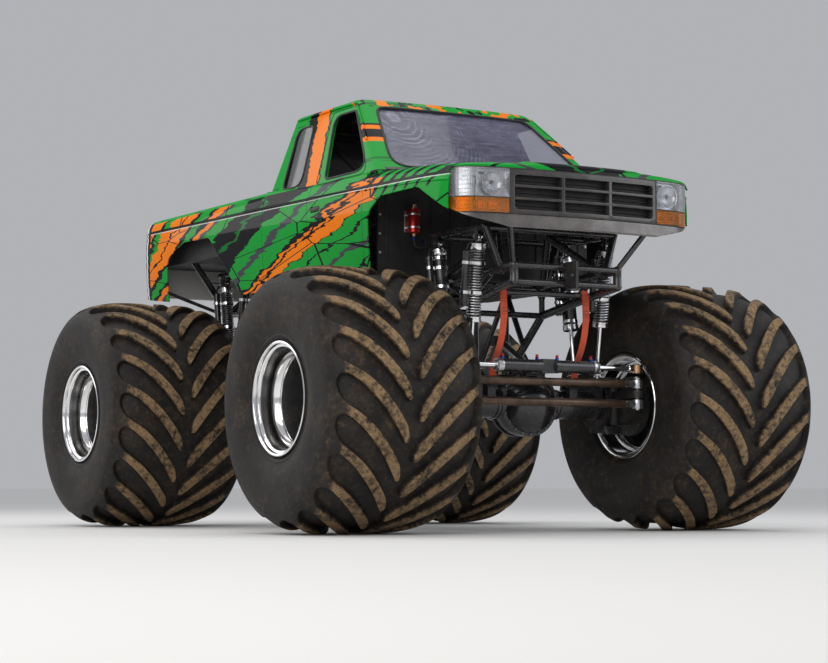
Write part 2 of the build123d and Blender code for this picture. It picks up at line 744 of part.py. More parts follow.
def strap_bars(trusses):
    """A tube across the frame at each end that the limit straps hang from."""
    bars = []
    for end in (1, -1):
        x = strap_points(end, 1)[-1][0] - end * (WEB_R + FIT)
        z = low_rail_z(end, x)
        bar = rod((x, -FRAME_Y, z), (x, FRAME_Y, z), WEB_R)
        bars.append(largest(cut(bar, trusses)))
    return bars


FLANGE_Y = (120, 160)
FLANGE_EDGE = 75


def knuckle(end, side):
    x = end * AXLE_X
    pin = (x, side * KINGPIN_Y)
    pieces = [
        rod((*pin, HUB_Z - KNUCKLE_HALF), (*pin, HUB_Z + KNUCKLE_HALF), KNUCKLE_R),
        rod((*pin, HUB_Z - EAR_Z[1]), (*pin, HUB_Z + EAR_Z[1]), PIN_R),
        rod((*pin, HUB_Z), (x, side * DRUM_END_Y, HUB_Z), DRUM_R),
        rod(*((x, side * (KINGPIN_Y + offset), HUB_Z) for offset in FLANGE_Y), DRUM_R + FLANGE_EDGE),
        rod((x, side * (DRUM_END_Y - 10), HUB_Z), (x, side * STUB_END_Y, HUB_Z), STUB_R),
    ]
    low, high = (HUB_Z + height for height in ARM_Z)
    tip = x + end * STEER_ARM
    pieces.append(block((x, tip), (pin[1] - ARM_W / 2, pin[1] + ARM_W / 2), (low, high)))
    pieces.append(rod((tip, pin[1], low), (tip, pin[1], high), EYE_R))
    body = fused(pieces)
    return body - rod((tip, pin[1], low - 1), (tip, pin[1], high + 1), BOLT_R + FIT)


TIE_EYE = 33
BOLT_ENDS = (-32, 48)


def tie_rod(end):
    """Two parallel tubes that join the steering arms, one below and one above them, on upright bolts."""
    x = end * (AXLE_X + STEER_ARM)
    pieces = []
    for side in (1, -1):
        y = side * KINGPIN_Y
        low, high = HUB_Z + TIE_Z[0], HUB_Z + TIE_Z[1]
        pieces.append(rod((x, y, low + BOLT_ENDS[0]), (x, y, high + BOLT_ENDS[1]), BOLT_R))
        for z in (low, high):
            pieces.append(rod((x, y, z - TIE_EYE), (x, y, z + TIE_EYE), EYE_R))
    for z in TIE_Z:
        pieces.append(rod((x, -KINGPIN_Y, HUB_Z + z), (x, KINGPIN_Y, HUB_Z + z), TIE_R))
    return fused(pieces)


BORE_Y = (85, 450)
ROD_START_Y = 225
ROD_EYE = 30


def steer_barrels(end):
    x = end * (AXLE_X + STEER_ARM)
    z = HUB_Z + CYL_Z
    barrels = []
    for side in (1, -1):
        low, high = side * (CYL_Y[0] + FIT), side * CYL_Y[1]
        barrel = rod((x, low, z), (x, high, z), CYL_R) - rod(*((x, side * y, z) for y in BORE_Y), ROD_R + FIT)
        barrels.append(barrel)
    return barrels


def steer_rods(end):
    x = end * (AXLE_X + STEER_ARM)
    z = HUB_Z + CYL_Z
    rods = []
    for side in (1, -1):
        y = side * KINGPIN_Y
        piece = rod((x, side * ROD_START_Y, z), (x, y, z), ROD_R)
        piece += rod((x, y, z - ROD_EYE), (x, y, z + ROD_EYE), EYE_R)
        rods.append(piece)
    return Compound(children=rods)


LIP_ROOM = 4
# Side wall rings between the bead and the bars' feet: share of the wall's height, share of half the tyre's width
WALL_RINGS = ((0.0, 0.88), (0.4, 1.0))
# Tread bars: count on each side, width, depth, sweep round the tyre, angle of their feet, height where a wall bulges
BARS = 20
BAR_WIDTH = 58
BAR_DEPTH = 60
BAR_SWEEP = radians(33)
BAR_START = radians(3)
BULGE_SHARE = 0.458
CROWN_POWER = 2 / 3.6
# Places along a bar from the shoulder to the crown: share of the sweep, share of half the tyre's width, width factor
BAR_PLACES = ((0.0, 0.965, 1.25), (0.43, 0.67, 1.0), (1.0, 0.03, 0.9))


def wall_radius(share):
    lip = RIM_LIP_DIA / 2 + LIP_ROOM
    return lip + (TYRE_DIA / 2 - lip) * share


def crown_radius(share):
    """The tread's outer radius at a share of half the tyre's width."""
    turn = asin(share ** (1 / CROWN_POWER))
    return wall_radius(BULGE_SHARE) + (TYRE_DIA / 2 - wall_radius(BULGE_SHARE)) * cos(turn) ** CROWN_POWER


def wheel_point(radius, angle, share):
    """A point of the front left wheel."""
    return AXLE_X + radius * cos(angle), WHEEL_Y + share * TYRE_WIDTH / 2, HUB_Z - radius * sin(angle)


def wall_ring(radius, way, share):
    """One vertex for every bar: pairs of angle and point."""
    angles = [BAR_START + 2 * pi * (index + (0 if way > 0 else 0.5)) / BARS for index in range(BARS)]
    return [(angle, wheel_point(radius / cos(pi / BARS), angle, way * share)) for angle in angles]


def bar_rows(way):
    """For every place along the bars the feet and the tops round the tyre, two of each for a bar."""
    rows = []
    for sweep, share, widen in BAR_PLACES:
        feet, tops = [], []
        half = BAR_WIDTH * widen / 2 / crown_radius(share)
        outer = crown_radius(share) / cos(half)
        for index in range(BARS):
            middle = BAR_START + BAR_SWEEP * sweep + 2 * pi * (index + (0 if way > 0 else 0.5)) / BARS
            for angle in (middle - half, middle + half):
                feet.append((angle, wheel_point(outer - BAR_DEPTH, angle, way * share * 0.98)))
                tops.append((angle, wheel_point(outer, angle, way * share)))
        rows.append((feet, tops))
    return rows


def belt(first, second):
    """Triangles between two rings of angle and point."""
    triangles, i, j = [], 0, 0
    while i < len(first) or j < len(second):
        ahead = [ring[(k + 1) % len(ring)][0] + 2 * pi * ((k + 1) // len(ring)) if k < len(ring) else 9 * pi
                 for ring, k in ((first, i), (second, j))]
        a, b = first[i % len(first)][1], second[j % len(second)][1]
        if ahead[0] <= ahead[1]:
            i += 1
            triangles.append((a, first[i % len(first)][1], b))
        else:
            j += 1
            triangles.append((a, second[j % len(second)][1], b))
    return triangles


def tyre():
    """The front left tyre: carcass and tread bars as one skin of flat triangles."""
    triangles = []
    bores, crowns = [], []
    for way in (1, -1):
        rings = [wall_ring(BEAD_DIA / 2, way, WALL_RINGS[0][1])]
        rings += [wall_ring(wall_radius(height), way, share) for height, share in WALL_RINGS]
        rows = bar_rows(way)
        for low, high in zip(rings, rings[1:] + [rows[0][0]]):
            triangles += belt(low, high)
        for (feet, tops), (next_feet, next_tops) in zip(rows, rows[1:]):
            for k in range(0, 2 * BARS, 2):
                strip = [(feet[k - 1], next_feet[k - 1]), (feet[k], next_feet[k]), (tops[k], next_tops[k]),
                         (tops[k + 1], next_tops[k + 1]), (feet[k + 1], next_feet[k + 1])]
                for (a, b), (c, d) in zip(strip, strip[1:]):
                    triangles += [(a[1], b[1], d[1]), (a[1], d[1], c[1])]
        for feet, tops in (rows[0], rows[-1]):
            for k in range(0, 2 * BARS, 2):
                triangles += [(feet[k][1], feet[k + 1][1], tops[k + 1][1]), (feet[k][1], tops[k + 1][1], tops[k][1])]
        bores.append(rings[0])
        crowns.append(rows[-1][0])
    triangles += belt(*bores) + belt(*crowns)
    skin = Shell([make_face(Polyline(*corners, close=True)).faces()[0] for corners in triangles])
    return Solid(skin)


RIM_EDGE_SHARE = 0.44
RIM_SEAT_SHARE = 0.33
RIM_DROP = 55
RIM_SLOPE = 60
RIM_BEND = 8
RING_T = 14
OUTER_RING_T = 30
RING_INSET = 20
HUB_ROOM = 8
HUB_CAP_R = 150
HUB_CAP_EDGE = 45
HUB_CAP_RISE = 90
HUB_CAP_END_Y = 1360
DISC_Y = (1105, 1130)


def rim(end, side):
    """The wheel's barrel with its two bead rings, its disc and the hub drum that it is bolted to."""
    bead, lip = BEAD_DIA / 2, RIM_LIP_DIA / 2
    seat = TYRE_WIDTH * RIM_SEAT_SHARE
    inner, outer = WHEEL_Y - TYRE_WIDTH * RIM_EDGE_SHARE, WHEEL_Y + TYRE_WIDTH * RIM_EDGE_SHARE
    drop, well = bead - RIM_DROP, seat - RIM_SLOPE
    outline = [
        (lip, inner - RING_T), (lip, inner - FIT), (bead - FIT, inner - FIT), (bead - FIT, WHEEL_Y - seat),
        (drop, WHEEL_Y - well), (drop, WHEEL_Y + well),
        (bead - FIT, WHEEL_Y + seat), (bead - FIT, outer + FIT), (lip, outer + FIT), (lip, outer + OUTER_RING_T),
        (bead - RING_INSET, outer + OUTER_RING_T), (bead - RING_INSET - RIM_WALL, outer),
        (bead - RIM_WALL, WHEEL_Y + seat - RIM_BEND), (drop - RIM_WALL, WHEEL_Y + well - RIM_BEND),
        (drop - RIM_WALL, DISC_Y[1]), (STUB_R + 1, DISC_Y[1]), (STUB_R + 1, DISC_Y[0]), (drop - RIM_WALL, DISC_Y[0]),
        (drop - RIM_WALL, WHEEL_Y - well + RIM_BEND), (bead - RIM_WALL, WHEEL_Y - seat + RIM_BEND),
        (bead - RIM_WALL, inner - RING_T),
    ]
    barrel = turned([(radius, side * y) for radius, y in outline], end * AXLE_X)
    hub = turned([(STUB_R + 1, side * (DRUM_END_Y + HUB_ROOM)), (HUB_CAP_R, side * (DRUM_END_Y + HUB_ROOM)),
                  (HUB_CAP_R, side * (DISC_Y[1] + HUB_CAP_RISE)), (HUB_CAP_R - HUB_CAP_EDGE, side * HUB_CAP_END_Y),
                  (0, side * HUB_CAP_END_Y), (0, side * (STUB_END_Y + HUB_ROOM)),
                  (STUB_R + 1, side * (STUB_END_Y + HUB_ROOM))], end * AXLE_X)
    return barrel + hub


# Side view of the roll cage: x and z of its knees
CAGE_FOOT_Z = PAN_Z + PAN_T
CAGE_SILL_Z = BELT_Z - 280
CAGE_KNEES = {"toe": (1040, CAGE_FOOT_Z), "dash": (1060, BELT_Z - 70), "brow": (610, ROOF_Z - 90),
              "nape": (-170, ROOF_Z - 90),
              "heel": (-190, CAGE_FOOT_Z), "sill": (-180, CAGE_SILL_Z), "knee": (1050, CAGE_SILL_Z)}
CAGE_R = 24
CAGE_CROSS_R = 20
CAGE_FOOT_Y = 520
CAGE_LEAN = 0.05


def cage_y(z):
    return CAGE_FOOT_Y + (z - CAGE_FOOT_Z) * CAGE_LEAN


def cage_point(name, side):
    x, z = CAGE_KNEES[name]
    return x, side * cage_y(z), z


def cage_side(side):
    def run(*names):
        return [cage_point(name, side) for name in names]

    frame = tubes([run("toe", "knee", "dash", "brow", "nape", "sill", "heel"), run("sill", "knee"),
                   run("nape", "knee")], CAGE_R)
    (back, _), (front, _) = CAGE_KNEES["heel"], CAGE_KNEES["toe"]
    under = (CAGE_FOOT_Z - 3 * CAGE_R, CAGE_FOOT_Z)
    feet = block((back - 3 * CAGE_R, front + 3 * CAGE_R), (side * 300, side * 800), under)
    return frame - feet


def cage_cross(sides):
    solids = []
    for name in ("dash", "brow", "nape", "sill"):
        start, stop = cage_point(name, 1), cage_point(name, -1)
        solids.append(largest(cut(rod(start, stop, CAGE_CROSS_R), sides)))
    return Compound(children=solids)


SEAT_X = (-40, 420)
SEAT_HALF = 235
SEAT_HIGH = 190
BACK_TOP_Z = ROOF_Z - 344
BACK_T = (110, 90)
BACK_LEAN = 60


def seat():
    low = CAGE_FOOT_Z + FIT
    base = block((SEAT_X[0] + BACK_LEAN, SEAT_X[1]), (-SEAT_HALF, SEAT_HALF), (low, low + SEAT_HIGH))
    top_x = SEAT_X[0] - BACK_LEAN
    back = prism_y(((SEAT_X[0], low + 20), (SEAT_X[0] + BACK_T[0], low + 20), (top_x + BACK_T[1], BACK_TOP_Z),
                    (top_x, BACK_TOP_Z)), -SEAT_HALF, SEAT_HALF)
    return base + back


STEER_CENTRE = (780, 0, 2180)
STEER_TILT = 65
STEER_R = 165
STEER_GRIP_R = 14
STEER_HUB = (28, 30)
SPOKE = (22, 8)
COLUMN_END = (DASH_X[0], 0, 2030)
COLUMN_R = 18


def steering_wheel(dash):
    place = Pos(*STEER_CENTRE) * Rot(0, -STEER_TILT, 0)
    ring = place * Torus(STEER_R, STEER_GRIP_R)
    hub = place * Cylinder(*STEER_HUB)
    spokes = [place * Rot(0, 0, turn) * Pos(STEER_R / 2, 0, 0) * Box(STEER_R, *SPOKE) for turn in (0, 120, 240)]
    return largest(fused([ring, hub, *spokes, rod(STEER_CENTRE, COLUMN_END, COLUMN_R)]) - dash)


ENGINE_X = (-760, -60)
ENGINE_HALF = 300
ENGINE_Z = (1200, 1640)


def engine():
    return block(ENGINE_X, (-ENGINE_HALF, ENGINE_HALF), ENGINE_Z)


CASE_X = 230
CASE_Y = 150
SHAFT_Z = BELLY_Z + 82
DRIVE_SHAFT_R = 38
# Yoke at each shaft's inner end: x and z of its two ends, radius
SHAFT_YOKE = ((250, BELLY_Z + 79), (330, BELLY_Z + 62))
SHAFT_YOKE_R = 62


def driveline(seats):
    """The transfer case amidships and the two shafts to the axles."""
    case = block((-CASE_X, CASE_X), (-CASE_Y, CASE_Y), (BELLY_Z + WEB_R + FIT, ENGINE_Z[0] - FIT))
    pieces = [case]
    for end in (1, -1):
        flange = (end * (AXLE_X - PINION_X - FIT - 4), 0, HUB_Z + PINION_RISE + FIT)
        pieces.append(rod((end * (CASE_X - 4), 0, SHAFT_Z), flange, DRIVE_SHAFT_R))
        pieces.append(rod(*((end * x, 0, z) for x, z in SHAFT_YOKE), SHAFT_YOKE_R))
    return largest(cut(fused(pieces), seats))


# Posts that carry the body: the foot's and the head's place, radius
BODY_POSTS = (
    ((-FRAME_REAR_X + 5, FRAME_Y + 10, RAIL_TOP_Z), (-1830, 815, BED_FLOOR_Z + 40), 26),
    ((-FRAME_REAR_X + 20, FRAME_Y + 10, RAIL_TOP_Z - 20), (-2170, 950, SILL_Z + 160), 14),
    ((FRAME_FRONT_X - 10, FRAME_Y, NOSE_TUBE_Z), (2270, 520, SILL_Z + 240), 18),
)


def body_struts(seats):
    """Posts that carry the nose and the bed sides on the frame."""
    struts = []
    for side in (1, -1):
        for foot, head, radius in BODY_POSTS:
            ends = [(x, side * y, z) for x, y, z in (foot, head)]
            struts.append(largest(cut(rod(*ends, radius), seats)))
    return struts


def main():
    os.makedirs("parts", exist_ok=True)
    trusses = [side_truss(side) for side in SIDES.values()]
    for truss, name in zip(trusses, SIDES):
        save(truss, f"frame_{name}")
    cross = cross_tubes(trusses)
    mounts = link_mounts()
    save(Compound(children=[*cross.solids(), *strap_bars(trusses)]), "frame_cross_tubes")
    save(Compound(children=tow_plates(cross)), "tow_plates")
    save(Compound(children=mounts), "link_mounts")
    cages = [cage_side(side) for side in SIDES.values()]
    save(Compound(children=cages), "cage_sides")
    save(cage_cross(cages), "cage_cross_tubes")
    hoops = [largest(cut(towers(end), [*trusses, cross])) for end in ENDS.values()]
    save(Compound(children=hoops), "shock_towers")
    shell = cab_shell()
    pan = floor_pan()
    fenders = [fender(side) for side in SIDES.values()]
    beds = [bed_side(side) for side in SIDES.values()]
    liner = bed_liner()
    chin = valance()
    save(shell, "cab_shell")
    save(windscreen(), "windscreen")
    save(cab_glass(shell), "cab_glass")
    save(pan, "floor_pan")
    save(hood(), "hood")
    save(grille(), "grille")
    save(lamps(LAMP_SPLIT_Z, GRILLE_Z[1], fenders), "headlamps")
    save(lamps(GRILLE_Z[0], LAMP_SPLIT_Z - FIT, fenders), "signal_lamps")
    save(chin, "valance")
    for name, side, wing, bed in zip(SIDES, SIDES.values(), fenders, beds):
        save(door(side), f"door_{name}")
        save(wing, f"fender_{name}")
        save(bed, f"bed_side_{name}")
    save(tailgate(), "tailgate")
    save(tail_lamps(), "tail_lamps")
    save(liner, "bed_liner")
    save(Compound(children=body_struts([*trusses, *hoops, liner, chin, *beds])), "body_struts")
    save(seat(), "seat")
    save(steering_wheel(pan), "steering_wheel")
    save(engine(), "engine")
    axles = [axle(end) for end in ENDS.values()]
    save(driveline(axles), "driveline")
    save(Compound(children=link_bars([*axles, *mounts])), "link_bars")
    save(Compound(children=limit_straps()), "limit_straps")
    save(Compound(children=[barrel for end in ENDS.values() for barrel in steer_barrels(end)]), "steer_barrels")
    bodies, shafts = zip(*(shocks(end) for end in ENDS.values()))
    save(Compound(children=[solid for group in bodies for solid in group.solids()]), "shock_bodies")
    save(Compound(children=[solid for group in shafts for solid in group.solids()]), "shock_shafts")
    rubber = {"left": tyre()}
    rubber["right"] = mirror(rubber["left"], about=Plane.XZ)
    for (end_name, end), housing in zip(ENDS.items(), axles):
        save(housing, f"axle_{end_name}")
        save(tie_rod(end), f"tie_rod_{end_name}")
        save(steer_rods(end), f"steer_rods_{end_name}")
        for side_name, side in SIDES.items():
            corner = f"{end_name}_{side_name}"
            save(knuckle(end, side), f"knuckle_{corner}")
            save(Pos(end * AXLE_X - AXLE_X, 0, 0) * rubber[side_name], f"tyre_{corner}")
            save(rim(end, side), f"rim_{corner}")


main()
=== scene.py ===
from math import cos, pi, radians, sin, sqrt, tan

import bmesh
import bpy
from mathutils import Matrix, Vector


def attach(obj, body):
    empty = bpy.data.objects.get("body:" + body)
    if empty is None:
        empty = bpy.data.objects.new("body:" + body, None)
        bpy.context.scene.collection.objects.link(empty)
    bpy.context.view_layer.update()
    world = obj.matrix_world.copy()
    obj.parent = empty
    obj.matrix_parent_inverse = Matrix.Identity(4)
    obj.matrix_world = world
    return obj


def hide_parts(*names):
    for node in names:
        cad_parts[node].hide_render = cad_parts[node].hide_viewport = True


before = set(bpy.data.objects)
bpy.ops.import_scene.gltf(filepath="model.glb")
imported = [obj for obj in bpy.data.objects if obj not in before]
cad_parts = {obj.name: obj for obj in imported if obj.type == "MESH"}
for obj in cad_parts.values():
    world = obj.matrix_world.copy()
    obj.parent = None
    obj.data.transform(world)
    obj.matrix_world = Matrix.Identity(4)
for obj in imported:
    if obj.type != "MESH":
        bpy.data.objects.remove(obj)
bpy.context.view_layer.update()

ENDS = {"front": 1, "rear": -1}
SIDES = {"left": 1, "right": -1}
CORNERS = [(f"{end_name}_{side_name}", end, side)
    for end_name, end in ENDS.items() for side_name, side in SIDES.items()]

# Places shared with the CAD model, in metres
AXLE_X = 1.625
HUB_Z = 0.838
WHEEL_Y = 1.3
KINGPIN_Y = 0.72
STEER_ARM = 0.28


# Mesh helpers

moved = Matrix.Translation
LAID_ALONG_X = Matrix.Rotation(pi / 2, 4, "Y")
LAID_ALONG_Y = Matrix.Rotation(pi / 2, 4, "X")


def mesh_piece(name, bm, paints, hides=(), soft_angle=35, body="chassis"):
    """Turns a bmesh into a finished piece with its materials, riding on a body."""
    for edge in bm.edges:
        edge.smooth = len(edge.link_faces) == 2 and edge.calc_face_angle(0) < radians(soft_angle)
    for face in bm.faces:
        face.smooth = True
    mesh = bpy.data.meshes.new(name)
    bm.to_mesh(mesh)
    bm.free()
    for paint in paints:
        mesh.materials.append(paint)
    piece = bpy.data.objects.new(name, mesh)
    bpy.context.scene.collection.objects.link(piece)
    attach(piece, body)
    if hides:
        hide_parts(*hides)
    return piece


def bevel(bm, edges, width, segments=2):
    bmesh.ops.bevel(bm, geom=list(edges), offset=width, segments=segments, profile=0.5, affect="EDGES",
        material=-1, clamp_overlap=True)


def sharp_edges(bm, angle=40):
    return [edge for edge in bm.edges if len(edge.link_faces) == 2
        and edge.calc_face_angle(0) > radians(angle)]


def paint_faces(faces, index):
    for face in faces:
        face.material_index = index


def aimed(start, end):
    """A matrix that puts local Z along start to end, with its origin at start."""
    start, end = Vector(start), Vector(end)
    return moved(start) @ (end - start).to_track_quat("Z", "Y").to_matrix().to_4x4()


def mm(*points):
    """Points of a profile or outline given in millimetres; a third value, a finish, stays as it is."""
    return [(point[0] / 1000, point[1] / 1000, *point[2:]) for point in points]


def raised(level, points):
    """The same profile with its heights counted from a level."""
    return [(radius, level + height, *own) for radius, height, *own in points]


def edged(inner, outer, low, high, ease, rise):
    """A ring's profile, whose outer edges are eased by one size across and by another in height."""
    return [(inner, low), (outer - ease, low), (outer, low + rise), (outer, high - rise),
        (outer - ease, high), (inner, high)]


def merge_into(bm, other, paint=None):
    """Moves a bmesh's faces into another one, all in one finish where that is given."""
    if paint is not None:
        paint_faces(other.faces, paint)
    mesh = bpy.data.meshes.new("part")
    other.to_mesh(mesh)
    other.free()
    bm.from_mesh(mesh)
    bpy.data.meshes.remove(mesh)


def add_bar(bm, start, end, radius, far_radius=None, sides=20, paint=0, rim=0.0):
    """A round bar or cone between two points, its end edges eased by rim."""
    length = (Vector(end) - Vector(start)).length
    part = bmesh.new()
    place = aimed(start, end) @ moved((0, 0, length / 2))
    bmesh.ops.create_cone(part, cap_ends=True, segments=sides, radius1=radius,
        radius2=radius if far_radius is None else far_radius, depth=length, matrix=place)
    if rim:
        bevel(part, {edge for face in part.faces if len(face.verts) > 4 for edge in face.edges}, rim)
    merge_into(bm, part, paint)


def add_box(bm, place, size, paint=0, ease=0.0):
    """A box about a place and along its own directions, its edges eased."""
    part = bmesh.new()
    bmesh.ops.create_cube(part, size=1, matrix=place @ Matrix.Diagonal((*size, 1)))
    if ease:
        bevel(part, part.edges, ease)
    merge_into(bm, part, paint)


def add_block(bm, low, high, paint=0, ease=0.0):
    """A box between two corners, its edges eased."""
    low, high = Vector(low), Vector(high)
    add_box(bm, moved((low + high) / 2), [abs(length) for length in high - low], paint, ease)


def add_turned(bm, profile, steps=96, matrix=None, paint=0):
    """A turned shape about local Z from (radius, height) points; a third value is the finish from there."""
    part = bmesh.new()
    verts = [part.verts.new((point[0], 0, point[1])) for point in profile]
    edges = [part.edges.new(pair) for pair in zip(verts, verts[1:])]
    bmesh.ops.spin(part, geom=verts + edges, cent=(0, 0, 0), axis=(0, 0, 1), angle=2 * pi, steps=steps,
        use_merge=True, use_normal_flip=False)
    part.faces.ensure_lookup_table()
    tones = [point[2] if len(point) > 2 else paint for point in profile[:-1]]
    if len(set(tones)) == 1:
        paint_faces(part.faces, tones[0])
    else:
        middles = [(Vector(a[:2]) + Vector(b[:2])) / 2 for a, b in zip(profile, profile[1:])]
        for face in part.faces:
            spot = face.calc_center_median()
            spot = Vector((spot.xy.length, spot.z))
            face.material_index = tones[min(range(len(middles)), key=lambda i: (middles[i] - spot).length)]
    bmesh.ops.remove_doubles(part, verts=part.verts, dist=1e-6)
    bmesh.ops.recalc_face_normals(part, faces=part.faces)
    if matrix is not None:
        placed(part, matrix)
    merge_into(bm, part)


def add_coil(bm, radius, wire, height, turns, matrix):
    """A spring's wire wound about local Z."""
    part = bmesh.new()
    ring = bmesh.ops.create_circle(part, segments=8, radius=wire,
        matrix=moved((radius, 0, 0)) @ LAID_ALONG_Y)
    total = int(turns * 18)
    bmesh.ops.spin(part, geom=ring["verts"] + part.edges[:], cent=(0, 0, 0), axis=(0, 0, 1),
        dvec=(0, 0, height / total), angle=2 * pi * turns, steps=total, use_merge=False)
    bmesh.ops.recalc_face_normals(part, faces=part.faces)
    bmesh.ops.transform(part, matrix=matrix, verts=part.verts)
    merge_into(bm, part)


def add_pipe(bm, points, radius, sides=10, paint=0, smooth=6):
    """A round hose or tube along a smooth curve through given points."""
    curve = bpy.data.curves.new("route", "CURVE")
    curve.dimensions = "3D"
    curve.bevel_depth = radius
    curve.bevel_resolution = max(1, sides // 4 - 1)
    curve.use_fill_caps = True
    spline = curve.splines.new("NURBS")
    spline.points.add(len(points) - 1)
    for knot, point in zip(spline.points, points):
        knot.co = (*point, 1)
    spline.order_u = 3 if len(points) > 2 else 2
    spline.use_endpoint_u = True
    spline.resolution_u = smooth
    holder = bpy.data.objects.new("route", curve)
    mesh = bpy.data.meshes.new_from_object(holder)
    start = len(bm.faces)
    bm.from_mesh(mesh)
    bm.faces.ensure_lookup_table()
    paint_faces(bm.faces[start:], paint)
    bpy.data.objects.remove(holder)
    bpy.data.curves.remove(curve)
    bpy.data.meshes.remove(mesh)


def add_bolt(bm, place, way, size, paint=0, head=None):
    """A hexagon bolt head with a washer, standing on a surface along way."""
    place, way = Vector(place), Vector(way).normalized()
    seat = place + way * size * 0.18
    add_bar(bm, place, seat, size * 0.72, sides=14, paint=paint)
    add_bar(bm, seat, place + way * (head or size * 0.75), size * 0.5, sides=6, paint=paint, rim=size * 0.06)


def ring_of_bolts(bm, centre, way, radius, count, size, head, paint=0):
    place = aimed(centre, Vector(centre) + Vector(way))
    for index in range(count):
        turn = 2 * pi * index / count
        add_bolt(bm, place @ Vector((radius * cos(turn), radius * sin(turn), 0)), way, size, paint, head)


# Finishes

class Value:
    """A number that a finish works out; arithmetic with it adds the nodes for it."""

    def __init__(self, graph, socket):
        self.graph, self.socket = graph, socket

    def __add__(self, other):
        return self.graph.math("ADD", self, other)

    def __sub__(self, other):
        return self.graph.math("SUBTRACT", self, other)

    def __rsub__(self, other):
        return self.graph.math("SUBTRACT", other, self)

    def __mul__(self, other):
        return self.graph.math("MULTIPLY", self, other)

    def __gt__(self, other):
        return self.graph.math("GREATER_THAN", self, other)

    def __lt__(self, other):
        return self.graph.math("LESS_THAN", self, other)

    def __abs__(self):
        return self.graph.math("ABSOLUTE", self)

    def at_least(self, other):
        return self.graph.math("MAXIMUM", self, other)

    def sine(self):
        return self.graph.math("SINE", self)

    def step(self, low, high):
        """Rises from 0 where the number is low to 1 where it is high."""
        made = self.graph.node("ShaderNodeMapRange", clamp=True)
        return Value(self.graph, self.graph.feed(made, self, low, high).outputs[0])


class Graph:
    """A new finish, with short words for the nodes that it is built from."""

    def __init__(self, name):
        self.material = bpy.data.materials.new(name)
        self.material.use_nodes = True
        self.tree = self.material.node_tree
        self.face = self.tree.nodes["Principled BSDF"]
        self.place = self.node("ShaderNodeTexCoord").outputs["Object"]

    def node(self, kind, **settings):
        made = self.tree.nodes.new(kind)
        for key, value in settings.items():
            setattr(made, key, value)
        return made

    def put(self, socket, value):
        """Links another node's value to a socket, or sets a number or a colour there."""
        source = getattr(value, "socket", value)
        if hasattr(source, "links"):
            self.tree.links.new(source, socket)
        else:
            socket.default_value = (*value, 1) if socket.type == "RGBA" else value

    def feed(self, made, *values, **named):
        """Fills a node's first inputs in order, and others by name with underscores for spaces."""
        for socket, value in zip(made.inputs, values):
            self.put(socket, value)
        for key, value in named.items():
            self.put(made.inputs[key.replace("_", " ")], value)
        return made

    def math(self, operation, *values):
        return Value(self, self.feed(self.node("ShaderNodeMath", operation=operation), *values).outputs[0])

    def axes(self):
        split = self.feed(self.node("ShaderNodeSeparateXYZ"), self.place)
        return [Value(self, part) for part in split.outputs]

    def mapped(self, stretch, lean=0, start=(0, 0, 0)):
        """The place on the object, stretched, leant about Y by degrees and moved."""
        return self.feed(self.node("ShaderNodeMapping"), Vector=self.place, Location=start,
            Rotation=(0, radians(lean), 0), Scale=stretch).outputs[0]

    def grain(self, scale, detail=4.0, rough=0.55, place=None):
        made = self.feed(self.node("ShaderNodeTexNoise"), Vector=place or self.place, Scale=scale,
            Detail=detail, Roughness=rough)
        return Value(self, made.outputs["Fac"])

    def ramp(self, value, stops):
        """Colours in flat steps along a number."""
        made = self.node("ShaderNodeValToRGB")
        made.color_ramp.interpolation = "CONSTANT"
        dots = made.color_ramp.elements
        while len(dots) < len(stops):
            dots.new(0.5)
        for dot, (position, colour) in zip(dots, stops):
            dot.position, dot.color = position, (*colour, 1)
        return self.feed(made, value).outputs["Color"]

    def mix(self, share, first, second):
        made = self.node("ShaderNodeMix", data_type="RGBA")
        for index, value in ((0, share), (6, first), (7, second)):
            self.put(made.inputs[index], value)
        return made.outputs[2]

    def weave(self, first, second, pitch):
        """Threads that cross on the slant between two directions."""
        return ((first + second) * pitch).sine() * ((first - second) * pitch).sine()

    def bump(self, height, strength, distance):
        made = self.feed(self.node("ShaderNodeBump"), Height=height, Strength=strength, Distance=distance)
        self.put(self.face.inputs["Normal"], made.outputs[0])

    def finish(self, colour, rough, **more):
        self.feed(self.face, Base_Color=colour, Roughness=rough, **more)
        return self.material


def plain_finish(name, dark, light, rough, metal=0.0, coat=0.0, spots=9.0, wear=0.12, bump=0.0, fine=140.0,
        dust=None):
    """Two close tones mottled together, uneven gloss, a fine grain and, where given, dust in patches."""
    graph = Graph(name)
    colour = graph.mix(graph.grain(spots, 5.0).step(0.35, 0.65), dark, light)
    if dust:
        tone, amount = dust
        cover = graph.grain(spots * 0.6, 8.0, 0.7) * graph.grain(fine * 0.3, 3.0)
        colour = graph.mix(cover.step(0.3 - amount * 0.1, 0.38) * amount, colour, tone)
    if bump:
        graph.bump(graph.grain(fine, 3.0), 1.0, bump)
    gloss = graph.grain(spots * 3, 4.0) * (wear * 2) + (rough - wear)
    return graph.finish(colour, gloss, Metallic=metal, Coat_Weight=coat, Coat_Roughness=0.05)


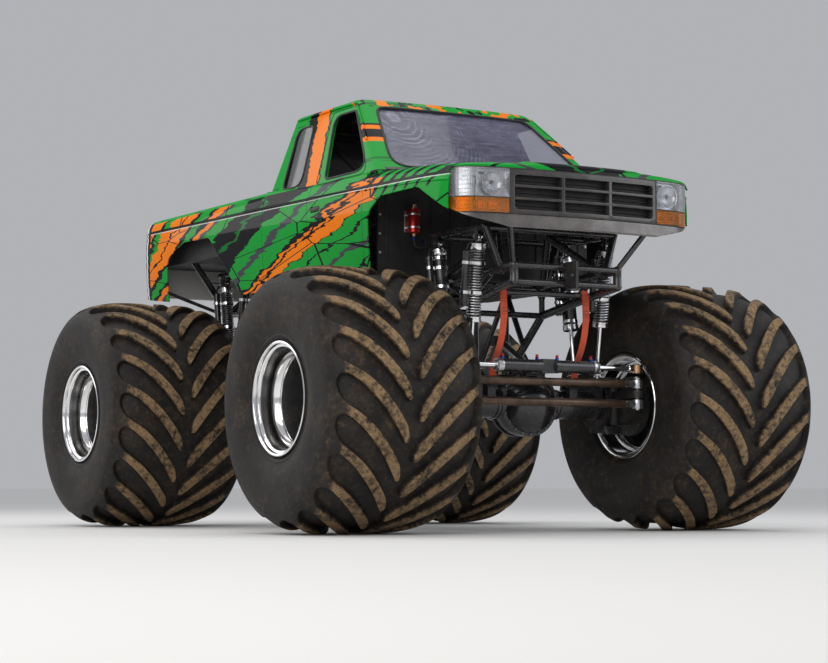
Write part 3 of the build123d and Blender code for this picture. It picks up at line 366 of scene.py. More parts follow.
BLACK_COAT = plain_finish("black_coat", (0.01, 0.01, 0.012), (0.022, 0.022, 0.025), 0.26, coat=0.5,
    bump=0.00004, dust=((0.11, 0.075, 0.045), 0.35))
SATIN_BLACK = plain_finish("satin_black", (0.012, 0.012, 0.013), (0.03, 0.029, 0.028), 0.48, bump=0.0001,
    dust=((0.1, 0.07, 0.045), 0.4))
LINER_BLACK = plain_finish("liner_black", (0.01, 0.01, 0.011), (0.024, 0.023, 0.022), 0.62, bump=0.0006,
    fine=60)
POLISHED = plain_finish("polished_metal", (0.8, 0.8, 0.81), (0.9, 0.9, 0.91), 0.13, metal=1.0, wear=0.07,
    bump=0.00003, spots=6, dust=((0.3, 0.22, 0.15), 0.16))
SATIN_METAL = plain_finish("satin_metal", (0.48, 0.48, 0.5), (0.66, 0.66, 0.68), 0.32, metal=1.0,
    bump=0.00005)
CHROME = plain_finish("hard_chrome", (0.84, 0.84, 0.86), (0.92, 0.92, 0.93), 0.07, metal=1.0, wear=0.03)
DARK_METAL = plain_finish("dark_metal", (0.1, 0.1, 0.105), (0.19, 0.185, 0.18), 0.38, metal=0.85, bump=0.0001)
BRONZE = plain_finish("bronze_eye", (0.42, 0.22, 0.11), (0.62, 0.36, 0.19), 0.28, metal=1.0, bump=0.00005)
BROWN_TUBE = plain_finish("dusty_tube", (0.055, 0.035, 0.025), (0.12, 0.075, 0.05), 0.34, metal=0.55,
    dust=((0.26, 0.17, 0.1), 0.3))
RUBBER_TRIM = plain_finish("rubber_trim", (0.01, 0.01, 0.01), (0.02, 0.02, 0.02), 0.58, bump=0.0002)
HOSE_RUBBER = plain_finish("hose_rubber", (0.012, 0.012, 0.013), (0.03, 0.03, 0.03), 0.45, bump=0.0002,
    fine=400)
BLUE_FITTING = plain_finish("blue_fitting", (0.02, 0.07, 0.35), (0.04, 0.12, 0.5), 0.25, metal=0.9)
RED_FITTING = plain_finish("red_fitting", (0.4, 0.02, 0.015), (0.55, 0.04, 0.03), 0.3, metal=0.7)
CAST_METAL = plain_finish("cast_metal", (0.09, 0.09, 0.09), (0.17, 0.165, 0.16), 0.5, metal=0.7, bump=0.0006,
    fine=90)
# Painted shade: the polished barrel's inner wall is coloured darker to stand for the shade and dark
# reflections inside the deep dish
BARREL_PAINTED_SHADE = plain_finish("barrel_painted_shade", (0.16, 0.155, 0.15), (0.24, 0.235, 0.23), 0.22, metal=1.0,
    wear=0.05, bump=0.00003, spots=6)
HEADER_METAL = plain_finish("header_metal", (0.24, 0.19, 0.15), (0.42, 0.36, 0.3), 0.34, metal=0.9,
    bump=0.0001)
STEEL_LINE = plain_finish("steel_line", (0.45, 0.45, 0.46), (0.62, 0.62, 0.63), 0.28, metal=1.0)
MILK_LENS = plain_finish("milk_lens", (0.6, 0.6, 0.6), (0.75, 0.75, 0.74), 0.12, coat=1.0, bump=0.0003,
    fine=120)


def tyre_rubber():
    """Near-black rubber; the attribute called lug carries dried dirt onto the tread bars' faces."""
    graph = Graph("tyre_rubber")
    speckle, patch = graph.grain(26, 8.0, 0.75), graph.grain(5.5, 4.0)
    on_lug = Value(graph, graph.node("ShaderNodeAttribute", attribute_name="lug").outputs["Fac"])
    lug = ((speckle - 0.5) * 1.1 + on_lug).step(0.55, 0.95)
    rubber = graph.mix(patch.step(0.3, 0.7), (0.009, 0.008, 0.0075), (0.021, 0.018, 0.0165))
    dirt = graph.mix(graph.grain(60, 6.0).step(0.3, 0.7), (0.19, 0.118, 0.058), (0.35, 0.232, 0.124))
    smudge = graph.grain(3.2, 6.0, 0.7).step(0.52, 0.72) * speckle.step(0.36, 0.62)
    haze = speckle.step(0.52, 0.75) * 0.22 + smudge * 0.2
    cover = lug * (speckle + patch * 0.5).step(0.6, 0.8)
    cover = (cover * 0.88).at_least(haze)
    graph.bump(graph.grain(220, 3.0) + cover * 0.8, 0.6, 0.0012)
    return graph.finish(graph.mix(cover, rubber, dirt), cover * 0.3 + 0.56, Specular_IOR_Level=0.25)


def seat_cloth():
    """Black woven cover with a faint diagonal weave."""
    graph = Graph("seat_cloth")
    x, y, z = graph.axes()
    weave = graph.weave(x + z, y, 1900.0)
    graph.bump(weave + graph.grain(90, 4.0), 0.5, 0.0008)
    colour = graph.mix(weave.step(-0.7, 0.7), (0.012, 0.012, 0.014), (0.045, 0.046, 0.05))
    return graph.finish(colour, 0.85, Sheen_Weight=0.25)


TYRE_RUBBER = tyre_rubber()
SEAT_CLOTH = seat_cloth()


# Tyres: a rounded carcass with long curved bars that meet the sidewall in a scalloped ring

TYRE_R = 0.838
TYRE_HALF = 0.546
MEAN_R = 0.8
BULGE_R = 0.58
CROWN_POWER = 2 / 3.6
BARS = 20
BAR_WIDTH = 0.058
BAR_DEPTH = 0.044
BAR_SWEEP = radians(33)
RING_WIDTH = 0.05
BAR_START = radians(73)
BAR_END = radians(0.4)
BAR_PHASE = radians(3)


def crown_point(turn, sink=0.0):
    """Radius and place across of the tyre's rounded outline; turn is 0 at the crown."""
    radius = BULGE_R + (TYRE_R - BULGE_R) * max(cos(turn), 0) ** CROWN_POWER
    across = TYRE_HALF * sin(turn) ** CROWN_POWER
    if sink:
        near = crown_point(min(turn + 0.01, pi / 2))
        far = crown_point(max(turn - 0.01, 0.0001))
        along = Vector((near[0] - far[0], near[1] - far[1])).normalized()
        radius, across = radius - along.y * sink, across + along.x * sink
    return radius, across


def crown_table(steps=240):
    """Distances along the outline from the bars' outer end to their inner end, with the turn at each."""
    turns = [BAR_START + (BAR_END - BAR_START) * index / steps for index in range(steps + 1)]
    rows = [(0.0, turns[0])]
    for last, turn in zip(turns, turns[1:]):
        rows.append((rows[-1][0] + (Vector(crown_point(turn)) - Vector(crown_point(last))).length, turn))
    return rows


CROWN_ROWS = crown_table()
BAR_LENGTH = CROWN_ROWS[-1][0]
# Share of the sweep that a bar has from its start, the rest growing with the square of the distance
SWEEP_START = 0.3


def turn_at(distance):
    for (low, start), (high, end) in zip(CROWN_ROWS, CROWN_ROWS[1:]):
        if distance <= high:
            return start + (end - start) * (distance - low) / (high - low)
    return CROWN_ROWS[-1][1]


def bar_half_width(distance, half_pitch):
    """Half a bar's width around the tyre: the whole pitch in the shoulder ring, then the round ends of the
    grooves, then the bar, which keeps its true width where it leans."""
    half_bar = BAR_WIDTH / 2
    groove = half_pitch - half_bar
    lean = TYRE_R * BAR_SWEEP * (SWEEP_START + 2 * (1 - SWEEP_START) * distance / BAR_LENGTH) / BAR_LENGTH
    past = min(1, max(0, (distance - RING_WIDTH - groove) / 0.12))
    widened = half_bar * (1 + (sqrt(1 + lean ** 2) - 1) * past)
    into = distance - RING_WIDTH
    if into <= 0:
        return half_pitch
    if into < groove:
        return half_pitch - sqrt(groove ** 2 - (groove - into) ** 2)
    left = BAR_LENGTH - distance
    if left < half_bar:
        return widened * sqrt(max(0.16, 1 - (1 - left / half_bar) ** 2))
    return widened


def tread_bar():
    """One bar modelled flat: x along the outline, y around the tyre, z the depth below the tread face."""
    half_pitch = pi * MEAN_R / BARS
    groove = half_pitch - BAR_WIDTH / 2
    stations = [0, RING_WIDTH * 0.5] + [RING_WIDTH + groove * (1 - cos(pi / 2 * k / 6)) for k in range(7)]
    straight = BAR_LENGTH - BAR_WIDTH / 2
    stations += [stations[-1] + (straight - stations[-1]) * k / 15 for k in range(1, 16)]
    stations += [straight + BAR_WIDTH / 2 * sin(pi / 2 * k / 3) for k in range(1, 4)]
    bm = bmesh.new()
    lug = bm.verts.layers.float.new("lug")
    bmesh.ops.create_grid(bm, x_segments=len(stations) - 1, y_segments=4, size=1)
    for vert in bm.verts:
        column = round((vert.co.x + 1) / 2 * (len(stations) - 1))
        distance = stations[column]
        vert.co.y *= bar_half_width(distance, half_pitch)
        vert.co.x = distance
        vert[lug] = min(1.0, max(0.0, (distance - RING_WIDTH - groove * 0.15) / (groove * 0.85)))
    border = [edge for edge in bm.edges if len(edge.link_faces) == 1]
    made = bmesh.ops.extrude_edge_only(bm, edges=border)["geom"]
    for vert in [item for item in made if isinstance(item, bmesh.types.BMVert)]:
        seam = abs(abs(vert.co.y) - half_pitch) < 1e-6
        vert.co.z -= BAR_DEPTH + 0.004
        if not seam:
            vert.co.y += 0.007 * (1 if vert.co.y > 0 else -1)
        if vert.co.x > straight:
            vert.co.x += 0.006
        vert[lug] = 0.0
    rims = [edge for edge in sharp_edges(bm, 60) if all(abs(v.co.z) < 1e-6 for v in edge.verts)
        and any(abs(abs(v.co.y) - half_pitch) > 1e-6 for v in edge.verts)
        and min(v.co.x for v in edge.verts) > 0]
    bevel(bm, rims, 0.0045, 1)
    bmesh.ops.recalc_face_normals(bm, faces=bm.faces)
    return bm


def carcass_profile():
    """The tyre's outline on one side, from the bead to the crown, as (radius, across)."""
    bead = mm((338, 462), (345, 478), (362, 481), (372, 494), (384, 506), (392, 509), (400, 507), (412, 511),
        (440, 522.5), (470, 532.5), (500, 539.5), (540, 544.5))
    flush = [crown_point(pi / 2 + (BAR_START - pi / 2) * k / 7, 0.0012) for k in range(8)]
    sinks = ((0.22, 0.006), (0.5, 0.022), (0.8, 0.038))
    dip = [crown_point(turn_at(RING_WIDTH * share), depth) for share, depth in sinks]
    floor = [crown_point(turn_at(RING_WIDTH + (BAR_LENGTH - RING_WIDTH) * (k / 13) ** 0.85), BAR_DEPTH)
        for k in range(14)]
    return bead + flush + dip + floor


def add_tyre(bm):
    """A whole tyre about local Z, its outer face towards +Z."""
    half = carcass_profile()
    bm.verts.layers.float.new("lug")
    add_turned(bm, half + [(radius, -across) for radius, across in reversed(half[:-1])], steps=120)
    flat = tread_bar()
    bar_mesh = bpy.data.meshes.new("bar")
    flat.to_mesh(bar_mesh)
    flat.free()
    for mirror in (1, -1):
        for index in range(BARS):
            start = len(bm.verts)
            face_start = len(bm.faces)
            bm.from_mesh(bar_mesh)
            bm.verts.ensure_lookup_table()
            bm.faces.ensure_lookup_table()
            angle = BAR_PHASE + 2 * pi * (index + (0.5 if mirror < 0 else 0)) / BARS
            for vert in bm.verts[start:]:
                distance, around, depth = vert.co
                radius, across = crown_point(turn_at(min(distance, BAR_LENGTH)), -depth)
                across -= max(0.0, distance - BAR_LENGTH)
                share = distance / BAR_LENGTH
                sweep = BAR_SWEEP * share * (SWEEP_START + (1 - SWEEP_START) * share)
                turned = angle + sweep + around / MEAN_R
                vert.co = (radius * cos(turned), -radius * sin(turned), across * mirror)
            if mirror > 0:
                bmesh.ops.reverse_faces(bm, faces=bm.faces[face_start:])
    bpy.data.meshes.remove(bar_mesh)


def wheel_place(end, side):
    """Local Z becomes the wheel's outward way and local X stays forward."""
    turned = Matrix(((1, 0, 0, 0), (0, 0, side, 0), (0, 1, 0, 0), (0, 0, 0, 1)))
    return moved((end * AXLE_X, side * WHEEL_Y, HUB_Z)) @ turned


def placed(bm, matrix):
    """Puts a bmesh in its place, and turns its faces round where the matrix mirrors it."""
    bmesh.ops.transform(bm, matrix=matrix, verts=bm.verts)
    if matrix.determinant() < 0:
        bmesh.ops.reverse_faces(bm, faces=bm.faces)


# Rims: polished deep-dish barrel with two bright rings, a dark centre and a bolted planetary hub

def add_rim(bm):
    """A wheel's metal about local Z: 0 polished, 1 dark centre, 2 chrome, 3 satin, 4 barrel wall coloured
    darker as painted shade and painted dark reflection inside the dish.
    """
    outer = mm((330, 479, 0), (356.5, 483.5, 0), (358, 500, 0), (356.5, 508, 0), (349, 510.7, 0),
        (341, 508, 0), (337, 500, 0), (335, 488, 0), (322, 482, 0), (316, 470, 4), (315, 400, 4),
        (312, 380, 0), (296, 352, 0), (291, 346, 0), (285, 346, 0), (281, 351, 0), (276, 350, 0),
        (272, 342, 1), (268, 310, 1), (262, 290, 1), (262, -165, 1), (235, -169.5, 1), (205, -150, 1),
        (165, -142, 1), (152, -142, 1))
    hub = mm((165, -146, 1), (166, -90, 3), (160, -82, 3), (150, -80, 3), (149, -20, 1), (128, 0, 1),
        (108, 6, 3), (105, 45, 3), (98, 55, 3), (60, 58.5, 3), (0.5, 59.8, 3))
    inner = mm((330, -479, 0), (356.5, -483.5, 0), (358, -491, 0), (354, -494.5, 0), (342, -494, 0),
        (330, -488, 0), (318, -476, 0), (315, -400, 0), (312, -380, 0), (296, -352, 0), (285, -346, 0),
        (276, -350, 0), (266, -310, 1), (262, -290, 1), (262, -200, 1), (235, -196, 1), (170, -196, 1),
        (150, -235, 1), (150, -300, 1), (58, -300, 1))
    for profile, steps in ((outer, 112), (hub, 64), (inner, 112)):
        add_turned(bm, profile, steps)
    ring_of_bolts(bm, (0, 0, -0.147), (0, 0, 1), 0.185, 20, 0.024, 0.026, 2)
    for index in range(10):
        turn = 2 * pi * (index + 0.5) / 10
        spot = Vector((cos(turn), sin(turn), 0))
        add_bolt(bm, spot * 0.086 + Vector((0, 0, 0.054)), (0, 0, 1), 0.016, 2, 0.004)
        add_bolt(bm, spot * 0.137 + Vector((0, 0, -0.012)), (spot.x, spot.y, 0.9), 0.014, 2, 0.009)


def build_wheels():
    kinds = (
        # name, node, shape, finishes
        ("treaded_tyre", "tyre", add_tyre, [TYRE_RUBBER]),
        ("dished_rim", "rim", add_rim, [POLISHED, SATIN_BLACK, CHROME, SATIN_METAL, BARREL_PAINTED_SHADE]),
    )
    shapes = {}
    for name, node, add, paints in kinds:
        bm = bmesh.new()
        add(bm)
        shapes[name] = bpy.data.meshes.new(name)
        bm.to_mesh(shapes[name])
        bm.free()
    for corner, end, side in CORNERS:
        for name, node, add, paints in kinds:
            bm = bmesh.new()
            bm.from_mesh(shapes[name])
            placed(bm, wheel_place(end, side))
            mesh_piece(f"{name}_{corner}", bm, paints, [f"{node}_{corner}"], 32, f"wheel_{corner}")
    for shape in shapes.values():
        bpy.data.meshes.remove(shape)


build_wheels()


# Body: moulded panels shaped from one table of cross-sections

SILL_Z = 1.69
BELT_Z = 2.36
ROOF_Z = 2.94
CAB_BACK_X = -0.285
DOOR_REAR_X = 0.4
DOOR_FRONT_X = 1.185
FENDER_END_X = 2.19
SCREEN_FOOT_X = 1.362
SCREEN_HEAD_X = 0.705
CAB_BELT_Y = 0.928
CAB_ROOF_Y = 0.705
GAP = 0.0025
ACROSS = (-1.2, 1.2)
SKIN = 0.008
ARCH_BEAD_R = 0.0055
SIDE_BULGE = 0.011
CREASE_FOLD = 0.007
# The screen's bow in plan
SCREEN_BOW = 0.045
BOW_POWER = 2.4

# x, half width at sill, at crease and at top edge, heights of crease and top edge
SIDE_STATIONS = (
    (-2.420, 0.905, 0.935, 0.900, 2.300, 2.400),
    (-2.300, 0.940, 0.968, 0.930, 2.300, 2.402),
    (-0.300, 0.945, 0.975, 0.935, 2.280, 2.402),
    (0.390, 0.945, 0.975, 0.930, 2.262, 2.360),
    (1.185, 0.945, 0.975, 0.928, 2.240, 2.360),
    (1.950, 0.938, 0.966, 0.905, 2.210, 2.322),
    (2.200, 0.905, 0.930, 0.872, 2.195, 2.300),
    (2.320, 0.850, 0.872, 0.830, 2.190, 2.292),
)
# Wheel arches and the raised tail, seen from the side: x, z
ARCH_FRONT = ((1.245, 1.5), (1.252, 2.085), (1.42, 2.18), (1.89, 2.185), (2.33, 1.93), (2.42, 1.5))
ARCH_REAR = ((-1.96, 1.5), (-1.96, 2.07), (-1.64, 2.17), (-1.18, 2.165), (-0.64, 1.66), (-0.6, 1.5))
TAIL_RISE = ((-2.5, 1.6), (-2.5, 1.79), (-1.9, 1.725), (-1.9, 1.6))


def blend_rows(rows, x):
    x = min(max(x, rows[0][0]), rows[-1][0])
    for (x0, *low), (x1, *high) in zip(rows, rows[1:]):
        if x <= x1:
            share = (x - x0) / (x1 - x0)
            return [a + (b - a) * share for a, b in zip(low, high)]


def side_at(x, soften=0.09):
    """The body side's five sizes at x, with the table's corners eased."""
    near = [blend_rows(SIDE_STATIONS, x + shift) for shift in (-soften, 0, 0, soften)]
    return [sum(column) / 4 for column in zip(*near)]


def section(x, shelf=True):
    """Points (y, z) up the body side at x: lower panel, crease, shoulder and the shelf inside it."""
    sill, crease, top, crease_z, top_z = side_at(x)
    points = []
    for k in range(12):
        share = k / 11
        z = SILL_Z + (crease_z - CREASE_FOLD - SILL_Z) * share
        tuck = 0.006 * max(0, share - 0.85) / 0.15
        points.append((sill + (crease - sill) * share + SIDE_BULGE * sin(pi * share) - tuck, z))
    points += [(crease, crease_z - 0.002), (crease, crease_z + 0.004), (crease - 0.009, crease_z + 0.011)]
    if shelf:
        start = Vector((crease - 0.011, crease_z + 0.016))
        end = Vector((top - 0.05, top_z + 0.001))
        pull = Vector((top + 0.017, top_z + 0.001))
        points += [tuple(bent(start, pull, end, k / 9)) for k in range(1, 10)]
    else:
        for share in (0.12, 0.3, 0.5, 0.7, 0.85, 0.95):
            points.append((crease - 0.009 + (top + 0.003 - crease + 0.009) * share,
                crease_z + 0.011 + (top_z - 0.006 - crease_z - 0.011) * share))
        points += [(top, top_z - 0.003), (top - 0.005, top_z), (top - 0.02, top_z)]
    return points


def bent(start, pull, end, share):
    """A point of the curve that leaves start towards pull and comes to end from there."""
    return start * (1 - share) ** 2 + pull * 2 * share * (1 - share) + end * share ** 2


def grid_from(columns):
    """A sheet of quads through columns of points."""
    bm = bmesh.new()
    across, up = len(columns) - 1, len(columns[0]) - 1
    bmesh.ops.create_grid(bm, x_segments=across, y_segments=up, size=1)
    for vert in bm.verts:
        column = round((vert.co.x + 1) / 2 * across)
        row = round((vert.co.y + 1) / 2 * up)
        vert.co = columns[column][row]
    bm.normal_update()
    return bm


def face_out(bm, way):
    """Turns a sheet's faces round where most of them look against way."""
    total = sum((face.normal * face.calc_area() for face in bm.faces), Vector())
    if total.dot(Vector(way)) < 0:
        bmesh.ops.reverse_faces(bm, faces=bm.faces)
    return bm


def thicken(bm, depth, inner=1, rim=0):
    """Gives a sheet thickness on its hidden side, with materials for that side and for the edge."""
    count = len(bm.faces)
    bmesh.ops.solidify(bm, geom=bm.faces[:], thickness=depth)
    bm.faces.ensure_lookup_table()
    for index, face in enumerate(bm.faces):
        if index >= count:
            face.material_index = inner if index < 2 * count else rim
    return bm


def rounded(corners, radius, steps=6):
    """A closed outline whose corners are eased; radius may be one size or one for each corner."""
    outline = []
    count = len(corners)
    for index in range(count):
        corner = Vector(corners[index])
        back = (Vector(corners[index - 1]) - corner)
        ahead = (Vector(corners[(index + 1) % count]) - corner)
        size = radius[index] if isinstance(radius, (list, tuple)) else radius
        if not size:
            outline.append(corner)
            continue
        half = back.angle(ahead) / 2
        reach = min(size / tan(half), back.length * 0.45, ahead.length * 0.45)
        start, end = corner + back.normalized() * reach, corner + ahead.normalized() * reach
        outline += [bent(start, corner, end, k / steps) for k in range(steps + 1)]
    return outline


def rectangle(low_a, high_a, low_b, high_b):
    return [(low_a, low_b), (high_a, low_b), (high_a, high_b), (low_a, high_b)]


def prism(outline, low, high, axis="y", paint=0):
    """A cutter or slab: an outline of (x, z) drawn out along Y, of (y, z) along X, or of (x, y) along Z."""
    bm = bmesh.new()
    index = "xyz".index(axis)
    face = bm.faces.new([bm.verts.new((*point[:index], low, *point[index:]))
        for point in map(tuple, outline)])
    made = bmesh.ops.extrude_face_region(bm, geom=[face])["geom"]
    shift = [0, 0, 0]
    shift[index] = high - low
    bmesh.ops.translate(bm, verts=[item for item in made if isinstance(item, bmesh.types.BMVert)], vec=shift)
    bmesh.ops.recalc_face_normals(bm, faces=bm.faces)
    paint_faces(bm.faces, paint)
    return bm


def add_prism(bm, outline, low, high, axis="y", paint=0, ease=0.0, angle=60, segments=2):
    """A slab whose edges sharper than an angle are eased."""
    part = prism(outline, low, high, axis, paint)
    if ease:
        bevel(part, sharp_edges(part, angle), ease, segments)
    merge_into(bm, part)


def carve(bm, *cutters, action="DIFFERENCE"):
    """Cuts closed shapes out of a closed shape and frees the cutters."""
    holders = []
    for shape in (bm, *cutters):
        mesh = bpy.data.meshes.new("shape")
        shape.to_mesh(mesh)
        shape.free()
        for _ in range(3):
            mesh.materials.append(None)
        holder = bpy.data.objects.new("shape", mesh)
        bpy.context.scene.collection.objects.link(holder)
        holders.append(holder)
    for cutter in holders[1:]:
        change = holders[0].modifiers.new("cut", "BOOLEAN")
        change.operation, change.solver, change.object = action, "EXACT", cutter
    result = bpy.data.meshes.new_from_object(holders[0].evaluated_get(bpy.context.evaluated_depsgraph_get()))
    out = bmesh.new()
    out.from_mesh(result)
    for holder in holders:
        mesh = holder.data
        bpy.data.objects.remove(holder)
        bpy.data.meshes.remove(mesh)
    bpy.data.meshes.remove(result)
    bmesh.ops.dissolve_degenerate(out, edges=out.edges, dist=1e-5)
    return out


def add_loop_tube(bm, points, radius, sides=8, paint=0):
    """A round bead along a closed or open run of surface points."""
    closed = (Vector(points[0]) - Vector(points[-1])).length < 1e-6
    run = [Vector(point) for point in (points[:-1] if closed else points)]
    part = bmesh.new()
    rings = []
    count = len(run)
    for index, point in enumerate(run):
        ahead = run[(index + 1) % count] if closed or index < count - 1 else point
        behind = run[index - 1] if closed or index else point
        made = bmesh.ops.create_circle(part, segments=sides, radius=radius,
            matrix=moved(point) @ aimed(behind, ahead).to_3x3().to_4x4())
        rings.append({edge for vert in made["verts"] for edge in vert.link_edges})
    for first, second in list(zip(rings, rings[1:])) + ([(rings[-1], rings[0])] if closed else []):
        bmesh.ops.bridge_loops(part, edges=list(first | second))
    if not closed:
        for ring in (rings[0], rings[-1]):
            bmesh.ops.contextual_create(part, geom=list(ring))
    bmesh.ops.recalc_face_normals(part, faces=part.faces)
    merge_into(bm, part, paint)


def spread(low, high, step):
    count = max(2, round((high - low) / step))
    return [low + (high - low) * k / count for k in range(count + 1)]


def side_shell(x_low, x_high, side, shelf=True):
    columns = [[(x, side * y, z) for y, z in section(x, shelf)] for x in spread(x_low, x_high, 0.05)]
    return thicken(face_out(grid_from(columns), (0, side, 0)), SKIN)


def arch_bead(bm, outline, side, x_low, x_high):
    """The rolled edge of a wheel arch, on the body side where the outline crosses it."""
    run = []
    dense = rounded(outline, 0.12, 8)
    for start, end in zip(dense, dense[1:]):
        for k in range(6):
            x, z = start.lerp(end, k / 6)
            if x_low <= x <= x_high and z >= SILL_Z + 0.004:
                sill, crease, _, crease_z, _ = side_at(x)
                share = min(1, (z - SILL_Z) / (crease_z - CREASE_FOLD - SILL_Z))
                y = sill + (crease - sill) * share + SIDE_BULGE * sin(pi * share) - SKIN * 0.55
                run.append((x, side * y, z))
    if len(run) > 2:
        add_loop_tube(bm, run, ARCH_BEAD_R)


def arch_prism(outline):
    return prism(rounded(outline, 0.12, 8), *ACROSS)


# Nose, in plan: distance from the middle, x of the outer face
NOSE_PLAN = ((0.0, 2.372), (0.28, 2.364), (0.5, 2.347), (0.68, 2.322), (0.79, 2.294), (0.86, 2.252),
    (0.897, 2.205), (0.913, 2.15))
NOSE_TOP_Z = 2.272
GRILLE_Z = (1.99, 2.27)
GRILLE_HALF = 0.56
LAMP_SPLIT_Z = 2.086
VALANCE_Z = 1.905


def smooth_run(points, steps):
    """Points along a smooth curve through the given ones."""
    run = []
    padded = [2 * Vector(points[0]) - Vector(points[1])] + [Vector(p) for p in points]
    padded.append(2 * padded[-1] - padded[-2])
    for a, b, c, d in zip(padded, padded[1:], padded[2:], padded[3:]):
        for k in range(steps):
            t = k / steps
            run.append(0.5 * (2 * b + (c - a) * t + (2 * a - 5 * b + 4 * c - d) * t ** 2
                + (3 * b - a - 3 * c + d) * t ** 3))
    return run + [padded[-2]]


NOSE_HALF_RUN = smooth_run(NOSE_PLAN, 5)
NOSE_RUN = [Vector((-p.x, p.y)) for p in reversed(NOSE_HALF_RUN[1:])] + NOSE_HALF_RUN


def nose_x(y):
    y = min(abs(y), NOSE_PLAN[-1][0])
    for start, end in zip(NOSE_HALF_RUN, NOSE_HALF_RUN[1:]):
        if y <= end.x:
            return start.y + (end.y - start.y) * (y - start.x) / (end.x - start.x)
    return NOSE_PLAN[-1][1]


def nose_band(y_low, y_high, z_low, z_high, depth, set_back=0.0, rows=6, lean=0.0, inner=0):
    """A slab that follows the nose in plan, between two places across and two heights."""
    ys = [y_low] + [p.x for p in NOSE_RUN if y_low + 0.01 < p.x < y_high - 0.01] + [y_high]
    columns = []
    for y in ys:
        ahead, behind = nose_x(abs(y) + 0.004), nose_x(abs(y) - 0.004)
        slope = (behind - ahead) / 0.008
        way = Vector((1, slope * (1 if y > 0 else -1), 0)).normalized()
        zs = [z_low + (z_high - z_low) * k / rows for k in range(rows + 1)]
        columns.append([Vector((nose_x(y), y, z)) - way * (set_back + lean * (NOSE_TOP_Z - z)) for z in zs])
    return thicken(face_out(grid_from(columns), (1, 0, 0)), depth, inner, inner)


def build_sides(paint):
    """On each side a fender, a door with its handle in a recess, and a bed side."""
    skin = [paint, LINER_BLACK]
    for name, side in SIDES.items():
        bm = carve(side_shell(DOOR_FRONT_X + GAP, FENDER_END_X, side), arch_prism(ARCH_FRONT))
        arch_bead(bm, ARCH_FRONT, side, DOOR_FRONT_X, FENDER_END_X - 0.01)
        mesh_piece(f"moulded_fender_{name}", bm, skin, [f"fender_{name}"])
        face_y = side_at(0.5)[1] - 0.003
        recess = prism(rounded(rectangle(0.455, 0.59, 2.165, 2.205), 0.015), side * (face_y - 0.0055),
            side * (face_y + 0.05))
        bm = carve(side_shell(DOOR_REAR_X + GAP, DOOR_FRONT_X - GAP, side, shelf=False), recess)
        mesh_piece(f"moulded_door_{name}", bm, skin, [f"door_{name}"])
        bm = bmesh.new()
        add_prism(bm, rounded(rectangle(0.462, 0.583, 2.171, 2.199), 0.01), side * (face_y - 0.006),
            side * (face_y + 0.004), ease=0.002, angle=40)
        mesh_piece(f"door_handle_{name}", bm, [SATIN_BLACK], soft_angle=40)
        bm = carve(side_shell(-2.412, CAB_BACK_X - GAP, side), arch_prism(ARCH_REAR),
            prism(TAIL_RISE, *ACROSS))
        arch_bead(bm, ARCH_REAR, side, -2.0, -0.5)
        mesh_piece(f"moulded_bed_side_{name}", bm, skin, [f"bed_side_{name}"])


# Cab: rings from the belt up and over the roof

# height, how far the ring is drawn in from the cab's outline
ROOF_RINGS = ((2.9385, 0.004), (2.9475, 0.012), (2.9545, 0.026), (2.9595, 0.048), (2.9635, 0.085),
    (2.967, 0.14), (2.9695, 0.21), (2.9712, 0.3), (2.9718, 0.39), (2.9719, 0.45))


def cab_y(z):
    return CAB_BELT_Y + (CAB_ROOF_Y - CAB_BELT_Y) * (z - BELT_Z) / (ROOF_Z - BELT_Z)


def screen_x(z):
    return SCREEN_FOOT_X + (SCREEN_HEAD_X - SCREEN_FOOT_X) * (z - BELT_Z) / (ROOF_Z - BELT_Z)


def cab_front(y, z):
    """The cab's front face, bowed so that its corners lie behind its middle."""
    return screen_x(z) - SCREEN_BOW * (abs(y) / max(cab_y(z), 0.2)) ** BOW_POWER


def cab_ring(z, inset):
    at = min(max(z, BELT_Z), ROOF_Z)
    half = cab_y(at) - inset
    front, back = screen_x(at) - inset, CAB_BACK_X + inset
    corners = [(front, half), (back, half), (back, -half), (front, -half)]
    outline = rounded(corners, [0.075, 0.055, 0.055, 0.075])
    filled = []
    for index, point in enumerate(outline):
        ahead = outline[(index + 1) % len(outline)]
        filled.append(point)
        if index % 7 == 6:
            filled += [point.lerp(ahead, k / 14) for k in range(1, 14)]
    ring = []
    for point in filled:
        share = min(1, abs(point.y) / max(half, 0.05))
        reach = min(max((point.x - back) / (front - back), 0), 1)
        ring.append(Vector((point.x - SCREEN_BOW * share ** BOW_POWER * reach ** 6, point.y, z)))
    return ring


# The same for the lining under the roof
LINING_RINGS = ((2.912, 0.024), (2.926, 0.04), (2.935, 0.075), (2.941, 0.14), (2.944, 0.25), (2.945, 0.36),
    (2.945, 0.44))


def cab_skin(wall, roof_rings, paint):
    """One closed-ended skin of the cab, from below the belt up to the middle of the roof."""
    top = 2.93 - wall * 1.4
    levels = [(2.347, 0.004 + wall), (BELT_Z, wall)]
    levels += [(BELT_Z + (top - BELT_Z) * k / 14, wall) for k in range(1, 15)] + list(roof_rings)
    rings = [cab_ring(z, inset) for z, inset in levels]
    bm = grid_from([list(column) for column in zip(*[ring + ring[:1] for ring in rings])])
    bmesh.ops.remove_doubles(bm, verts=bm.verts, dist=1e-6)
    crown = [edge for edge in bm.edges if len(edge.link_faces) == 1
        and min(vert.co.z for vert in edge.verts) > roof_rings[-1][0] - 1e-4]
    bmesh.ops.contextual_create(bm, geom=crown)
    bmesh.ops.recalc_face_normals(bm, faces=bm.faces)
    face_out(bm, (0, 0, 1))
    paint_faces(bm.faces, paint)
    return bm


def cab_walls():
    bm = cab_skin(0.0, ROOF_RINGS, 0)
    lining = cab_skin(0.02, LINING_RINGS, 1)
    bmesh.ops.reverse_faces(lining, faces=lining.faces)
    merge_into(bm, lining)
    lower = [edge for edge in bm.edges if len(edge.link_faces) == 1]
    bmesh.ops.bridge_loops(bm, edges=lower)
    return bm


